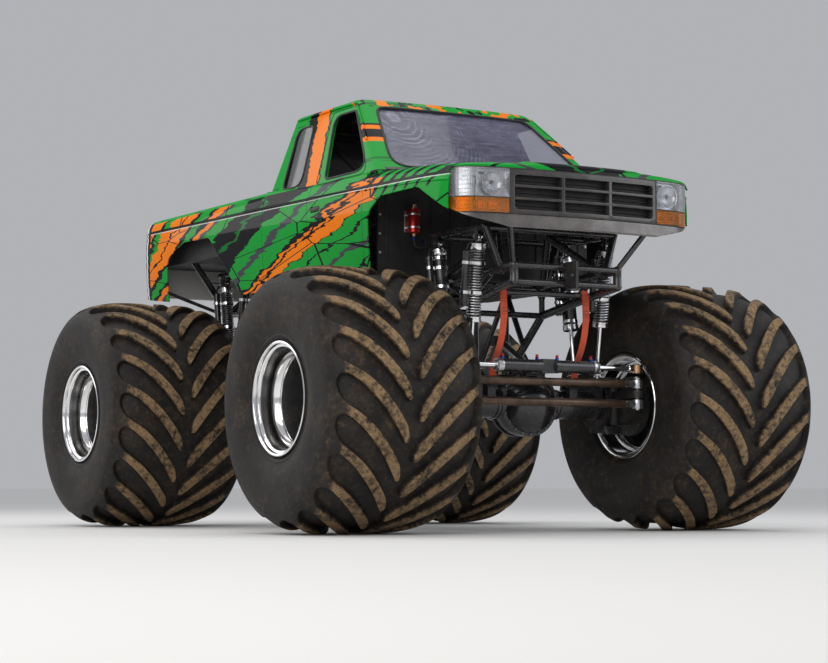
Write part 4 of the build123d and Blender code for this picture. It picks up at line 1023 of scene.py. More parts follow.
# Window corners seen from the side (x, z) or from the front (y, z)
DOOR_WINDOW = ((1.15, 2.388), (0.56, 2.388), (0.365, 2.868), (0.672, 2.868))
QUARTER_WINDOW = ((0.205, 2.388), (-0.08, 2.388), (-0.17, 2.85), (0.07, 2.85))
SCREEN_WINDOW = ((-0.8, 2.402), (0.8, 2.402), (0.61, 2.892), (-0.61, 2.892))
REAR_WINDOW = ((-0.62, 2.43), (0.62, 2.43), (0.52, 2.82), (-0.52, 2.82))
WINDOW_ROUND = 0.075
SCREEN_ROUND = 0.09
GLASS_Z = (2.392, 2.902)
GLASS_HALF = (0.812, 0.618)


def on_side(outline, side, lift):
    return [(x, side * (cab_y(z) + lift), z) for x, z in outline]


def add_seal(bm, run, radius, sides=8):
    """A bead all the way round a run of points."""
    add_loop_tube(bm, run + run[:1], radius, sides)


def filled_outline(outline, step=0.04):
    dense = []
    for start, end in zip(outline, outline[1:] + outline[:1]):
        count = max(1, round((end - start).length / step))
        dense += [start.lerp(end, k / count) for k in range(count)]
    return dense


def build_cab(paint):
    bm = carve(
        cab_walls(),
        prism(rounded(DOOR_WINDOW, WINDOW_ROUND), *ACROSS),
        prism(rounded(QUARTER_WINDOW, WINDOW_ROUND), *ACROSS),
        prism(rounded(SCREEN_WINDOW, SCREEN_ROUND), 0.35, 1.8, "x"),
        prism(rounded(REAR_WINDOW, WINDOW_ROUND), -0.45, -0.1, "x"),
    )
    add_prism(bm, rounded(rectangle(-0.93, 0.93, 1.7, 2.362), 0.02), CAB_BACK_X, CAB_BACK_X + 0.012, "x", 1)
    for side in SIDES.values():
        merge_into(bm, side_shell(CAB_BACK_X + GAP, DOOR_REAR_X - GAP, side, shelf=False))
    mesh_piece("cab_body", bm, [paint, LINER_BLACK], ["cab_shell"], 30)
    # Rubber seals and the doors' cut lines
    bm = bmesh.new()
    door_cut = mm((1168, 2362), (448, 2362), (318, 2903), (668, 2903))
    for side in SIDES.values():
        for outline, size, lift, radius, sides in ((DOOR_WINDOW, WINDOW_ROUND, -0.002, 0.0085, 8),
                (QUARTER_WINDOW, WINDOW_ROUND, -0.002, 0.0085, 8), (door_cut, 0.05, 0.0002, 0.0028, 6)):
            add_seal(bm, on_side(filled_outline(rounded(outline, size)), side, lift), radius, sides)
    screen = filled_outline(rounded(SCREEN_WINDOW, SCREEN_ROUND))
    add_seal(bm, [(cab_front(y, z) - 0.002, y, z) for y, z in screen], 0.01)
    rear = filled_outline(rounded(REAR_WINDOW, WINDOW_ROUND))
    add_seal(bm, [(CAB_BACK_X + 0.002, y, z) for y, z in rear], 0.009)
    mesh_piece("window_seals", bm, [RUBBER_TRIM])
    # Drip rails: place along the vehicle and distance from the cab's side
    bm = bmesh.new()
    run = ((SCREEN_HEAD_X + 0.3, 0.008), (SCREEN_HEAD_X + 0.1, 0.008), (SCREEN_HEAD_X - 0.06, 0.006),
        (0.4, 0.006), (0.0, 0.006), (CAB_BACK_X + 0.06, 0.004))
    fall = (ROOF_Z - BELT_Z) / (SCREEN_FOOT_X - SCREEN_HEAD_X)
    for side in SIDES.values():
        points = []
        for x, lift in run:
            z = min(2.926, ROOF_Z - (x - SCREEN_HEAD_X + 0.07) * fall)
            points.append((x, side * (cab_y(z) + lift), z))
        dense = [tuple(Vector(a).lerp(Vector(b), k / 6)) for a, b in zip(points, points[1:])
            for k in range(6)]
        add_loop_tube(bm, dense + [points[-1]], 0.0065)
    mesh_piece("drip_rails", bm, [paint])


def glass_point(across, up):
    """The windscreen's outer face; across runs from -1 to 1 and up from 0 to 1."""
    z = GLASS_Z[0] + (GLASS_Z[1] - GLASS_Z[0]) * up
    y = across * (GLASS_HALF[0] + (GLASS_HALF[1] - GLASS_HALF[0]) * up)
    return cab_front(y, z) - 0.011, y, z


def glass_finish(name, tint, mark, cover, swirl):
    """Plastic glazing: a tinted veil that thickens in round wiping marks and fine scratches."""
    graph = Graph(name)
    rings = graph.node("ShaderNodeTexWave", wave_type="RINGS", rings_direction="SPHERICAL")
    graph.feed(rings, Vector=graph.mapped((0.2, 1.0, 1.0), start=(0, 0.52, -2.78)), Scale=12.0,
        Distortion=0.22, Detail=2.0, Detail_Scale=1.5)
    scratch = graph.grain(9, 8.0, 0.8, graph.mapped((3, 1, 6))).step(0.45, 0.8)
    marks = Value(graph, rings.outputs["Fac"]).step(0.7, 1.0) * (graph.grain(3, 4.0).step(0.35, 0.65) * 0.45)
    marks = marks + scratch * 0.6
    return graph.finish(graph.mix(marks, tint, mark), marks * 0.15 + 0.12, Alpha=marks * swirl + cover,
        Coat_Weight=0.4)


CLEAR_GLASS = glass_finish("clear_glass", (0.07, 0.068, 0.13), (0.4, 0.39, 0.56), 0.4, 0.4)
DARK_GLASS = glass_finish("dark_glass", (0.005, 0.005, 0.007), (0.014, 0.014, 0.017), 0.93, 0.05)


def build_glass():
    columns = [[glass_point(k / 12 - 1, j / 12) for j in range(13)] for k in range(25)]
    bm = thicken(face_out(grid_from(columns), (1, 0, 0)), 0.006, 0, 0)
    mesh_piece("front_glazing", bm, [CLEAR_GLASS], ["windscreen"])
    bm = bmesh.new()
    (x0, z0), (x1, _), (x2, z1), (x3, _) = QUARTER_WINDOW
    for side in SIDES.values():
        columns = []
        for k in range(7):
            share = k / 6
            low_x, high_x = x1 - 0.012 + (x0 - x1 + 0.024) * share, x2 - 0.012 + (x3 - x2 + 0.024) * share
            columns.append([(low_x + (high_x - low_x) * j / 6,
                side * (cab_y(z0 + (z1 - z0) * j / 6) - 0.01 + 0.006 * sin(pi * share)),
                z0 - 0.01 + (z1 - z0 + 0.02) * j / 6) for j in range(7)])
        merge_into(bm, thicken(face_out(grid_from(columns), (0, side, 0)), 0.006, 0, 0))
    rear = prism(rounded(REAR_WINDOW, WINDOW_ROUND), CAB_BACK_X + 0.006, CAB_BACK_X + 0.012, "x")
    bmesh.ops.scale(rear, vec=(1, 1.012, 1), verts=rear.verts)
    merge_into(bm, rear)
    mesh_piece("tinted_glazing", bm, [DARK_GLASS], ["cab_glass"])


HOOD_REAR_X = 1.372
# The raised middle's half width at the rear, and how far that draws in towards the nose
RIDGE_Y = 0.56
RIDGE_DRAW = 0.13
RIDGE_SLOPE = 0.03


def hood_half(x):
    return side_at(x)[2] - 0.0545


def hood_point(x, share):
    """The hood's surface: a crown with a raised middle whose edges draw together towards the nose."""
    half = hood_half(min(x, 2.2))
    y = share * half
    edge = side_at(min(x, 2.3))[4] + 0.001
    crown = 0.03 * (1 - abs(share) ** 2.6)
    ridge_y = RIDGE_Y - RIDGE_DRAW * (x - HOOD_REAR_X) / 0.9
    rise = min(max((ridge_y + RIDGE_SLOPE - abs(y)) / (2 * RIDGE_SLOPE), 0), 1)
    return Vector((x, y, edge + crown + 0.01 * rise * rise * (3 - 2 * rise)))


def build_hood(paint):
    shares = [k / 36 * 2 - 1 for k in range(37)]
    shares += [(RIDGE_Y - RIDGE_DRAW * 0.5 + way * RIDGE_SLOPE) / 0.86 * side
        for way in (-1, 0, 1) for side in (1, -1)]
    columns = [[hood_point(x, share) for x in spread(HOOD_REAR_X, 2.195, 0.05)] for share in sorted(shares)]
    bm = thicken(face_out(grid_from(columns), (0, 0, 1)), 0.01)
    mesh_piece("moulded_hood", bm, [paint, LINER_BLACK], ["hood"])
    # Nose cap: rolls from the hood and the fenders' shoulders down to the lamps and the grille
    columns = []
    for place in NOSE_RUN:
        y = place.x
        share = y / NOSE_PLAN[-1][0]
        half = side_at(2.195)[1] - 0.004
        back_y = share * half
        hood_share = back_y / hood_half(2.2)
        if abs(hood_share) <= 1:
            back = hood_point(2.198, hood_share)
        else:
            over = (abs(back_y) - hood_half(2.2)) / (half - hood_half(2.2))
            top = side_at(2.198)[4]
            back = Vector((2.198, back_y, top + 0.001 - 0.055 * over ** 2.2))
        front = Vector((place.y, y, NOSE_TOP_Z + 0.002))
        lip = Vector((place.y + 0.001, y, NOSE_TOP_Z + 0.01))
        pull = Vector((place.y - 0.004, y * 0.998, max(back.z - 0.002, NOSE_TOP_Z + 0.014)))
        if abs(share) > 0.93:
            pull.z = min(pull.z, NOSE_TOP_Z + 0.018)
        columns.append([front] + [bent(lip, pull, back, k / 8) for k in range(9)])
    bm = thicken(face_out(grid_from(columns), (0.5, 0, 1)), 0.01)
    mesh_piece("nose_cap", bm, [paint, LINER_BLACK])
    # Cowl panel between hood and windscreen
    columns = []
    for k in range(25):
        share = k / 24 * 2 - 1
        y = share * 0.86
        low = Vector((cab_front(y, 2.372) + 0.006, y, 2.372 + 0.018 * (1 - share ** 2)))
        high = Vector((cab_front(y, 2.396) - 0.004, y, 2.398))
        columns.append([low, low.lerp(high, 0.5), high])
    bm = thicken(face_out(grid_from(columns), (0, 0, 1)), 0.005, 0, 0)
    mesh_piece("cowl_strip", bm, [SATIN_BLACK])


def lens_finish(name, tint, rough, ribs, pitch):
    """Moulded lamp plastic, with upright ribs drawn by its bump."""
    graph = Graph(name)
    wave = graph.node("ShaderNodeTexWave", bands_direction="Y", wave_profile="SIN")
    graph.feed(wave, Vector=graph.place, Scale=pitch, Distortion=0.0)
    graph.bump(wave.outputs["Fac"], ribs, 0.004)
    return graph.finish(tint, graph.grain(30, 3.0) * 0.06 + rough, Transmission_Weight=0.92, IOR=1.3)


CLEAR_LENS = lens_finish("clear_lens", (0.93, 0.95, 0.97), 0.03, 0.35, 24)
AMBER_LENS = lens_finish("amber_lens", (1.0, 0.44, 0.022), 0.05, 0.5, 34)
RED_LENS = plain_finish("red_lens", (0.3, 0.006, 0.006), (0.45, 0.012, 0.01), 0.1, coat=1.0, bump=0.0004,
    fine=120)
MIRROR = plain_finish("lamp_mirror", (0.46, 0.46, 0.48), (0.62, 0.62, 0.65), 0.24, metal=1.0)
BULB_GLASS = plain_finish("bulb_glass", (0.92, 0.74, 0.16), (1.0, 0.86, 0.3), 0.08, coat=1.0)
GRILLE_GREY = plain_finish("grille_grey", (0.026, 0.024, 0.024), (0.048, 0.043, 0.041), 0.32, coat=0.3,
    bump=0.00005, dust=((0.14, 0.095, 0.06), 0.3))
VALANCE_SILVER = plain_finish("valance_silver", (0.115, 0.108, 0.104), (0.18, 0.168, 0.16), 0.28, metal=0.55,
    coat=0.4, bump=0.00005, dust=((0.24, 0.17, 0.11), 0.35))


def build_grille():
    """Three by three openings in a dark frame, with a fine black mesh of fins behind them."""
    low, high = GRILLE_Z
    bm = nose_band(-GRILLE_HALF, GRILLE_HALF, low, high, 0.05, rows=8)
    left, right, foot, head = 0.03 - GRILLE_HALF, GRILLE_HALF - 0.03, low + 0.028, high - 0.036
    bar_y, bar_z = 0.022, 0.017
    width, height = (right - left - 2 * bar_y) / 3, (head - foot - 2 * bar_z) / 3
    cutters = []
    for column in range(3):
        for row in range(3):
            y, z = left + column * (width + bar_y), foot + row * (height + bar_z)
            corners = ((0, 0), (2, 0), (2, 2), (0, 2))
            radii = [0.03 if corner == (column, row) else 0.006 for corner in corners]
            cutters.append(prism(rounded(rectangle(y, y + width, z, z + height), radii, 4), 2.2, 2.5, "x"))
    bm = carve(bm, *cutters)
    rims = [edge for edge in sharp_edges(bm, 60)
        if all(abs(vert.co.x - nose_x(vert.co.y)) < 0.002 for vert in edge.verts)]
    bevel(bm, rims, 0.0022)
    for fin in range(11):
        z = foot + 0.01 + fin * (head - foot - 0.02) / 10
        merge_into(bm, nose_band(left - 0.01, right + 0.01, z - 0.0015, z + 0.0015, 0.016, 0.036, rows=1), 1)
    merge_into(bm, nose_band(left - 0.02, right + 0.02, foot - 0.02, head + 0.02, 0.004, 0.0515, rows=2), 1)
    mesh_piece("grille_frame", bm, [GRILLE_GREY, LINER_BLACK], ["grille"], 40)


def build_chin():
    low = GRILLE_Z[0]
    bm = carve(nose_band(-0.913, 0.913, VALANCE_Z, low - 0.002, 0.03, lean=0.02), arch_prism(ARCH_FRONT))
    rims = [edge for edge in sharp_edges(bm, 60)
        if max(vert.co.z for vert in edge.verts) < VALANCE_Z + 0.05
        or min(vert.co.z for vert in edge.verts) > low - 0.01]
    bevel(bm, rims, 0.004)
    mesh_piece("chin_panel", bm, [VALANCE_SILVER], ["valance"], 40)


def add_lamp_band(bm, side, reach, low, high, depth, set_back, rows=4, paint=1):
    """A slab that follows the nose from one distance from the middle to another, cut by the wheel arch."""
    band = nose_band(*sorted((side * reach[0], side * reach[1])), low, high, depth, set_back, rows)
    paint_faces(band.faces, paint)
    merge_into(bm, carve(band, arch_prism(ARCH_FRONT)))


def build_lamps():
    """Two lens units a side, one over the other, each with a shell, ribs, walls and shelves behind it."""
    low, high = GRILLE_Z
    lens, behind, corner = (GRILLE_HALF + 0.004, 0.9125), (GRILLE_HALF + 0.01, 0.905), (0.794, 0.91)
    clear, amber = bmesh.new(), bmesh.new()
    for side in SIDES.values():
        for lamp, foot, head in ((clear, LAMP_SPLIT_Z + 0.002, high - 0.001),
                (amber, low + 0.001, LAMP_SPLIT_Z)):
            add_lamp_band(lamp, side, lens, foot, head, 0.004, 0.0, 6, 0)
            add_lamp_band(lamp, side, behind, foot + 0.004, head - 0.004, 0.004, 0.052)
            # The corner part has its own shallow reflector with a grid of ribs
            add_lamp_band(lamp, side, corner, foot + 0.003, head - 0.003, 0.003, 0.02)
            for z in spread(foot + 0.022, head - 0.022, 0.03):
                add_lamp_band(lamp, side, corner, z - 0.0012, z + 0.0012, 0.01, 0.009, 1)
            for y in (GRILLE_HALF + 0.006, 0.79):
                wall = rectangle(nose_x(y) - 0.052, nose_x(y) - 0.004, foot + 0.002, head - 0.002)
                add_prism(lamp, wall, side * y - 0.002, side * y + 0.002, paint=1)
            for z in (foot + 0.0015, head - 0.0015):
                add_lamp_band(lamp, side, behind, z - 0.001, z + 0.001, 0.044, 0.006, 1)
        # Reflector bowl, its bulb and the bulb's shield; the shield's black is partly a painted dark
        # reflection
        y, z = side * 0.675, (LAMP_SPLIT_Z + high) / 2
        aim = moved((nose_x(y) - 0.05, y, z)) @ LAID_ALONG_X
        add_turned(clear, mm((4, 2), (30, 6), (55, 17), (70, 30), (74, 38), (77, 38), (72, 26), (55, 12),
            (28, 1), (4, -1)), 40, aim, 1)
        add_turned(clear, mm((0.5, 30), (8, 28), (11, 20), (9, 8), (9, 3)), 20, aim, 2)
        add_turned(clear, mm((0.5, 36), (12, 35), (14, 31), (14, 24), (12.5, 24)), 20, aim, 3)
        # Painted reflections: dark blocks over the bowl and beside it stand for the dark reflections in the
        # reflector's facets; place, half width and half height
        for off, lift, half, tall in ((-0.042, 0.066, 0.024, 0.008), (0.036, 0.062, 0.03, 0.006),
                (0.092, 0.01, 0.007, 0.03)):
            spot = y + side * off
            add_block(clear, (nose_x(spot) - 0.05, spot - half, z + lift - tall),
                (nose_x(spot) - 0.042, spot + half, z + lift + tall), 3, 0.001)
        middle = (low + LAMP_SPLIT_Z) / 2
        for y in (side * 0.655, side * 0.725):
            aim = moved((nose_x(y) - 0.046, y, middle)) @ LAID_ALONG_X
            add_turned(amber, mm((0.5, 34), (9, 31), (13, 22), (10, 10), (9, 0)), 20, aim, 2)
            add_block(amber, (nose_x(y) - 0.05, y - 0.029, middle - 0.025),
                (nose_x(y) - 0.043, y + 0.029, middle + 0.025), 2, 0.001)
    mesh_piece("head_lamp_units", clear, [CLEAR_LENS, MIRROR, CHROME, LINER_BLACK], ["headlamps"], 40)
    mesh_piece("amber_lamp_units", amber, [AMBER_LENS, MIRROR, BULB_GLASS], ["signal_lamps"], 40)


def build_nose_seams():
    """Dark seams between the lamps, the grille, the nose cap and the chin."""
    low, high = GRILLE_Z
    bm = bmesh.new()
    for side in SIDES.values():
        edge_y = GRILLE_HALF + 0.002
        runs = [([(edge_y, low + (high - low) * k / 6) for k in range(7)], 0.003)]
        seams = (
            # height, ends across, step, radius
            (LAMP_SPLIT_Z + 0.001, GRILLE_HALF + 0.004, 0.893, 0.02, 0.0025),
            (low - 0.0005, 0.0, 0.855, 0.03, 0.003),
            (high + 0.002, 0.0, 0.912, 0.03, 0.003),
        )
        for z, inner, outer, step, radius in seams:
            runs.append(([(y, z) for y in spread(inner, outer, step)], radius))
        for run, radius in runs:
            add_loop_tube(bm, [(nose_x(y) + 0.0005, side * y, z) for y, z in run], radius, 6)
    mesh_piece("nose_seams", bm, [SATIN_BLACK])


# Painted livery: torn slanting bands over bright green, drawn from the place on the body

GREEN = (0.007, 0.3, 0.034)
DEEP_GREEN = (0.006, 0.15, 0.024)
ORANGE = (0.84, 0.2, 0.004)
INK = (0.006, 0.006, 0.007)
SLATE = (0.055, 0.06, 0.068)
WHITE = (0.78, 0.78, 0.76)
# The bands' reach along the slanting measure, where each starts, and its colour
BANDS_REACH = 2.5
BANDS = (
    (-0.6, GREEN), (-0.3, INK), (-0.285, GREEN), (-0.17, SLATE), (-0.13, GREEN), (-0.02, INK), (0, GREEN),
    (0.085, INK), (0.1, ORANGE), (0.19, INK), (0.205, ORANGE), (0.235, INK), (0.262, GREEN), (0.38, SLATE),
    (0.43, GREEN), (0.55, INK), (0.7, DEEP_GREEN), (0.735, INK), (0.86, GREEN), (0.98, SLATE), (1.02, ORANGE),
    (1.08, INK), (1.12, GREEN), (1.21, INK), (1.26, ORANGE), (1.38, INK), (1.4, ORANGE), (1.5, GREEN),
    (1.56, INK), (1.6, ORANGE), (1.76, INK), (1.79, GREEN),
)


def livery():
    graph = Graph("painted_livery")
    x, y, z = graph.axes()
    wide = abs(y)
    height = z - SILL_Z + (0.93 - wide).at_least(0.0) * 0.8
    # Noise stretched along the bands tears their edges and lets them thin out and stop
    drift = graph.grain(1.5, 3.0, 0.5, graph.mapped((1.1, 1.0, 5.0), 20))
    torn = graph.grain(1.0, 2.0, 0.6, graph.mapped((3.0, 1.0, 22.0), 52))
    measure = height - x * (x * -0.055 + 0.36) + (drift * 0.22 - 0.11) + (torn * 0.13 - 0.065)
    start = BANDS[0][0]
    colour = graph.ramp((measure - start) * (1 / BANDS_REACH),
        [((at - start) / BANDS_REACH, tone) for at, tone in BANDS])
    colour = graph.mix((torn * 0.5 + x > 1.62) * (height < 0.86), colour, GREEN)
    # Claw strokes across the shoulder of the fender and the door
    curl = height * height * -0.35 + (height * -0.75 + x)
    stroke = (curl * 46.0).sine() + (torn * 0.9 - 0.45)
    zone = x.step(1.05, 1.3) * x.step(2.32, 2.05)
    claws = height.step(0.38, 0.74) * zone * (stroke + 0.55) > 0.45
    colour = graph.mix(claws, colour, INK)
    # Thin drawn lines
    web = graph.node("ShaderNodeTexVoronoi", feature="DISTANCE_TO_EDGE")
    graph.feed(web, Vector=graph.mapped((0.9, 0.6, 3.2), 28), Scale=1.3)
    colour = graph.mix(Value(graph, web.outputs["Distance"]) < 0.01, colour, INK)
    # Band down the middle roof post and rings round the screen posts
    ragged = torn * 0.1 - 0.05
    off = x - ((z - BELT_Z) * -0.38 + 0.385) + ragged
    above = z > BELT_Z + 0.01
    on_post = above * (wide > z * -0.34 + 1.66)
    colour = graph.mix(above, colour, graph.mix(torn > 0.61, GREEN, DEEP_GREEN))
    colour = graph.mix((abs(off + 0.05) < 0.155) * on_post, colour, INK)
    colour = graph.mix((abs(off) < 0.085) * on_post, colour, ORANGE)
    forward = x > z * -1.133 + 3.9
    level = z + ragged * 0.15
    for low, high, tone in ((2.6, 2.635, ORANGE), (2.635, 2.7, INK), (2.7, 2.735, ORANGE),
            (2.735, 2.75, INK)):
        colour = graph.mix((level > low) * (level < high) * (forward * above), colour, tone)
    # Dashes along the roof's front edge
    header = (z > ROOF_Z - 0.045) * forward
    dash = graph.grain(9, 2.0)
    colour = graph.mix(header * (dash > 0.57), colour, ORANGE)
    colour = graph.mix(header * (dash < 0.4), colour, INK)
    # Double pinstripe along the crease
    from_crease = z - (x * -0.0125 + 2.2735)
    flank = wide > 0.9
    colour = graph.mix((abs(from_crease) < 0.01) * flank, colour, INK)
    colour = graph.mix((abs(from_crease + 0.015) < 0.0028) * flank * 0.8, colour, WHITE)
    # Broken upright bars at the tail
    along = x + ragged * 0.7
    for low, high, tone in ((-2.6, -2.395, INK), (-2.395, -2.365, WHITE), (-2.365, -2.3, INK)):
        colour = graph.mix((along > low) * (along < high), colour, tone)
    # Orange peel, fine wear and dust
    dust = graph.grain(3.5, 8.0, 0.7).step(0.52, 0.78) * graph.grain(70, 4.0).step(0.45, 0.62)
    colour = graph.mix(dust * 0.1, colour, (0.22, 0.16, 0.1))
    graph.bump(graph.grain(240, 2.0), 0.25, 0.00025)
    gloss = graph.grain(7, 6.0, 0.65) * 0.14 + 0.14 + dust * 0.25
    return graph.finish(colour, gloss, Specular_IOR_Level=0.0, Coat_Weight=0.3, Coat_Roughness=0.04)


LIVERY = livery()

build_sides(LIVERY)
build_cab(LIVERY)
build_glass()
build_hood(LIVERY)
build_grille()
build_chin()
build_lamps()
build_nose_seams()


# Chassis

FRAME_Y = 0.4
RAIL_TOP_Z = 1.655
BELLY_Z = 1.06
TAB_GAP = 0.04
SHOCK_Y = 0.5
SHOCK_FOOT = (0.12, HUB_Z + 0.15)
SHOCK_HEAD = (0.25, 1.893)
DAMPER_R = 0.048
SHAFT_R = 0.014
TIE_Z = (0.004, 0.136)
TIE_R = 0.027
CYL_Z = 0.236
CYL_Y = (0.05, 0.4)
ROD_R = 0.018
EYE_R = 0.038


def refined(node):
    """A carried-over CAD solid with its facets joined."""
    bm = bmesh.new()
    bm.from_mesh(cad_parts[node].data)
    bmesh.ops.remove_doubles(bm, verts=bm.verts, dist=2e-5)
    return bm


# Finishes of the carried-over nodes
CARRIED = (
    (BLACK_COAT, ("frame_left", "frame_right", "frame_cross_tubes")),
    (SATIN_BLACK, ("tow_plates", "link_mounts")),
    (BLACK_COAT, ("shock_towers", "body_struts")),
    (SATIN_BLACK, ("cage_sides", "cage_cross_tubes")),
    (LINER_BLACK, ("floor_pan",)),
    (DARK_METAL, ("driveline",)),
    (SATIN_METAL, ("link_bars",)),
    (RUBBER_TRIM, ("steering_wheel",)),
    (BLACK_COAT, ("axle_front", "axle_rear")),
    (SATIN_BLACK, [f"knuckle_{corner}" for corner, _, _ in CORNERS]),
)


def build_carried():
    """Steel parts that keep their CAD shape."""
    for paint, nodes in CARRIED:
        for node in nodes:
            body = node if node.startswith("knuckle") else "chassis"
            mesh_piece(f"finished_{node}", refined(node), [paint], [node], 30, body)


def add_rod_end(bm, centre, radius, width, way, paint=0, ball_paint=1):
    """A spherical rod end: a thick eye about an upright bolt, its ball, and the shank it is screwed on."""
    centre, way, half = Vector(centre), Vector(way), width / 2
    eye = ((0.55, -1), (0.92, -0.92), (1, -0.6), (1, 0.6), (0.92, 0.92), (0.55, 1))
    ball = ((0.36, 1.25), (0.5, 1), (0.56, 0), (0.5, -1), (0.36, -1.25))
    for shares, steps, tone in ((eye, 28, paint), (ball, 24, ball_paint)):
        add_turned(bm, [(radius * out, half * up) for out, up in shares], steps, moved(centre), tone)
    add_bar(bm, centre + way * radius * 0.8, centre + way * radius * 2.2, radius * 0.62, paint=paint)


def add_shock(bodies, shafts, foot, head, way, sprung):
    """One shock absorber, with or without a coil spring, its gas bottle beside it against way."""
    line, length, half = aimed(foot, head), (head - foot).length, TAB_GAP / 2
    for target, centre in ((shafts, foot), (bodies, head)):
        add_turned(target, edged(0.012, 0.024, 0.0003 - half, half - 0.0003, 0.002, 0.003), 28,
            moved(centre) @ LAID_ALONG_Y, 1)
        add_bar(target, centre - Vector((0, 0.032, 0)), centre + Vector((0, 0.032, 0)), 0.0115, sides=14,
            paint=2)
        for edge in (1, -1):
            add_bolt(target, centre + Vector((0, edge * (half + 0.007), 0)), (0, edge, 0), 0.026, 2, 0.015)
    add_turned(shafts, [(SHAFT_R, 0.018), (SHAFT_R, length * 0.4 - 0.001)], 24, line, 0)
    add_turned(shafts, mm((14, 20), (21, 22), (22, 40), (19, 46), (14, 47)), 24, line, 1)
    perch = length * 0.055
    for level, radius in ((perch, 0.052), (perch + 0.02, 0.044), (perch + 0.038, 0.05)):
        add_turned(shafts, raised(level, [(0.014, 0), (radius - 0.002, 0), (radius, 0.002), (radius, 0.007),
            (radius - 0.002, 0.009), (0.014, 0.01)]), 40, line, 1)
    add_turned(shafts, raised(perch, mm((14, 8), (26, 9), (26, 45), (14, 46))), 28, line, 2)
    low, high = length * 0.4, length * 0.955
    collar = mm((14.6, 0), (50, 0), (54, 3), (54, 20), (50, 23), (50, 28), (54, 31), (54, 35), (49, 38),
        (36, 39))
    cap = mm((36, -45), (49, -44), (51, -41), (51, -22), (47, -18), (47, -12), (51, -9), (51, -3), (46, 2),
        (22, 4), (18, 10))
    add_turned(bodies, raised(low, collar), 48, line, 1)
    add_turned(bodies, raised(high, cap) + [(0.018, length - 0.018)], 48, line, 1)
    if sprung:
        add_turned(bodies, [(0.036, low + 0.03), (0.036, high - 0.03)], 32, line, 3)
        run = high - 0.046 - (low + 0.04)
        add_coil(bodies, 0.044, 0.0052, run, int(run / 0.0175), line @ moved((0, 0, low + 0.04)))
    else:
        add_turned(bodies, raised(low, [(0.036, 0.03), (DAMPER_R - 0.002, 0.038), (DAMPER_R, 0.041)])
            + raised(high, [(DAMPER_R, -0.046), (DAMPER_R - 0.002, -0.044), (0.036, -0.043)]), 48, line, 3)
        for share in (0.12, 0.5, 0.88):
            band = [(DAMPER_R, -0.012), (DAMPER_R + 0.003, -0.01), (DAMPER_R + 0.003, 0.01),
                (DAMPER_R, 0.012)]
            add_turned(bodies, raised(low + (high - low) * share, band), 40, line, 1)
    # Gas bottle, its clamps and its hose
    beside = line @ moved((-way * 0.082, 0, 0))
    start, stop = low + 0.1, high - 0.05
    foot_half = mm((0.5, 0), (20, 0), (26, 6), (26, 20), (23.5, 23))
    head_half = mm((23.5, -30), (26, -27), (26, -6), (20, 0), (0.5, 0))
    add_turned(bodies, raised(start, foot_half) + raised(stop, head_half), 32, beside, 3)
    for share in (0.25, 0.78):
        level = start + (stop - start) * share
        for place, radius in ((line, 0.054), (beside, 0.029)):
            clamp = [(radius - 0.006, -0.01), (radius, -0.01), (radius, 0.01), (radius - 0.006, 0.01)]
            add_turned(bodies, raised(level, clamp), 32, place, 1)
        add_box(bodies, line @ moved((-way * 0.054, 0, level)), (0.012, 0.016, 0.018), 1)
    hose = [beside @ Vector((0, 0, stop - 0.002)), beside @ Vector((0, 0, stop + 0.022)),
        line @ Vector((-way * 0.062, 0, high + 0.012)), line @ Vector((-way * 0.04, 0, high - 0.006))]
    add_pipe(bodies, hose, 0.006, 8, 4)


def build_shocks():
    bodies, shafts = bmesh.new(), bmesh.new()
    for _, end, side in CORNERS:
        for way in (1, -1):
            foot, head = [Vector((end * AXLE_X + way * x, side * SHOCK_Y, z))
                for x, z in (SHOCK_FOOT, SHOCK_HEAD)]
            add_shock(bodies, shafts, foot, head, way, way == end)
    mesh_piece("coil_over_bodies", bodies, [SATIN_METAL, POLISHED, DARK_METAL, BLACK_COAT, HOSE_RUBBER],
        ["shock_bodies"])
    mesh_piece("coil_over_shafts", shafts, [CHROME, POLISHED, DARK_METAL], ["shock_shafts"])


def sleeve(inner, outer):
    """The profile of a short sleeve for add_tube."""
    return [(inner, 0), (outer, 0.001), (outer, -0.001), (inner, -0.0001)]


def add_tube(bm, start, end, profile, paint=0, steps=32):
    """A turned tube between two points; a height below 0 in its profile counts from the far end."""
    length = (Vector(end) - Vector(start)).length
    points = []
    for radius, place, *own in profile:
        height = place if place >= 0 else length + place
        points.append((radius, height, *(own or [paint])))
    add_turned(bm, points, steps, aimed(start, end))


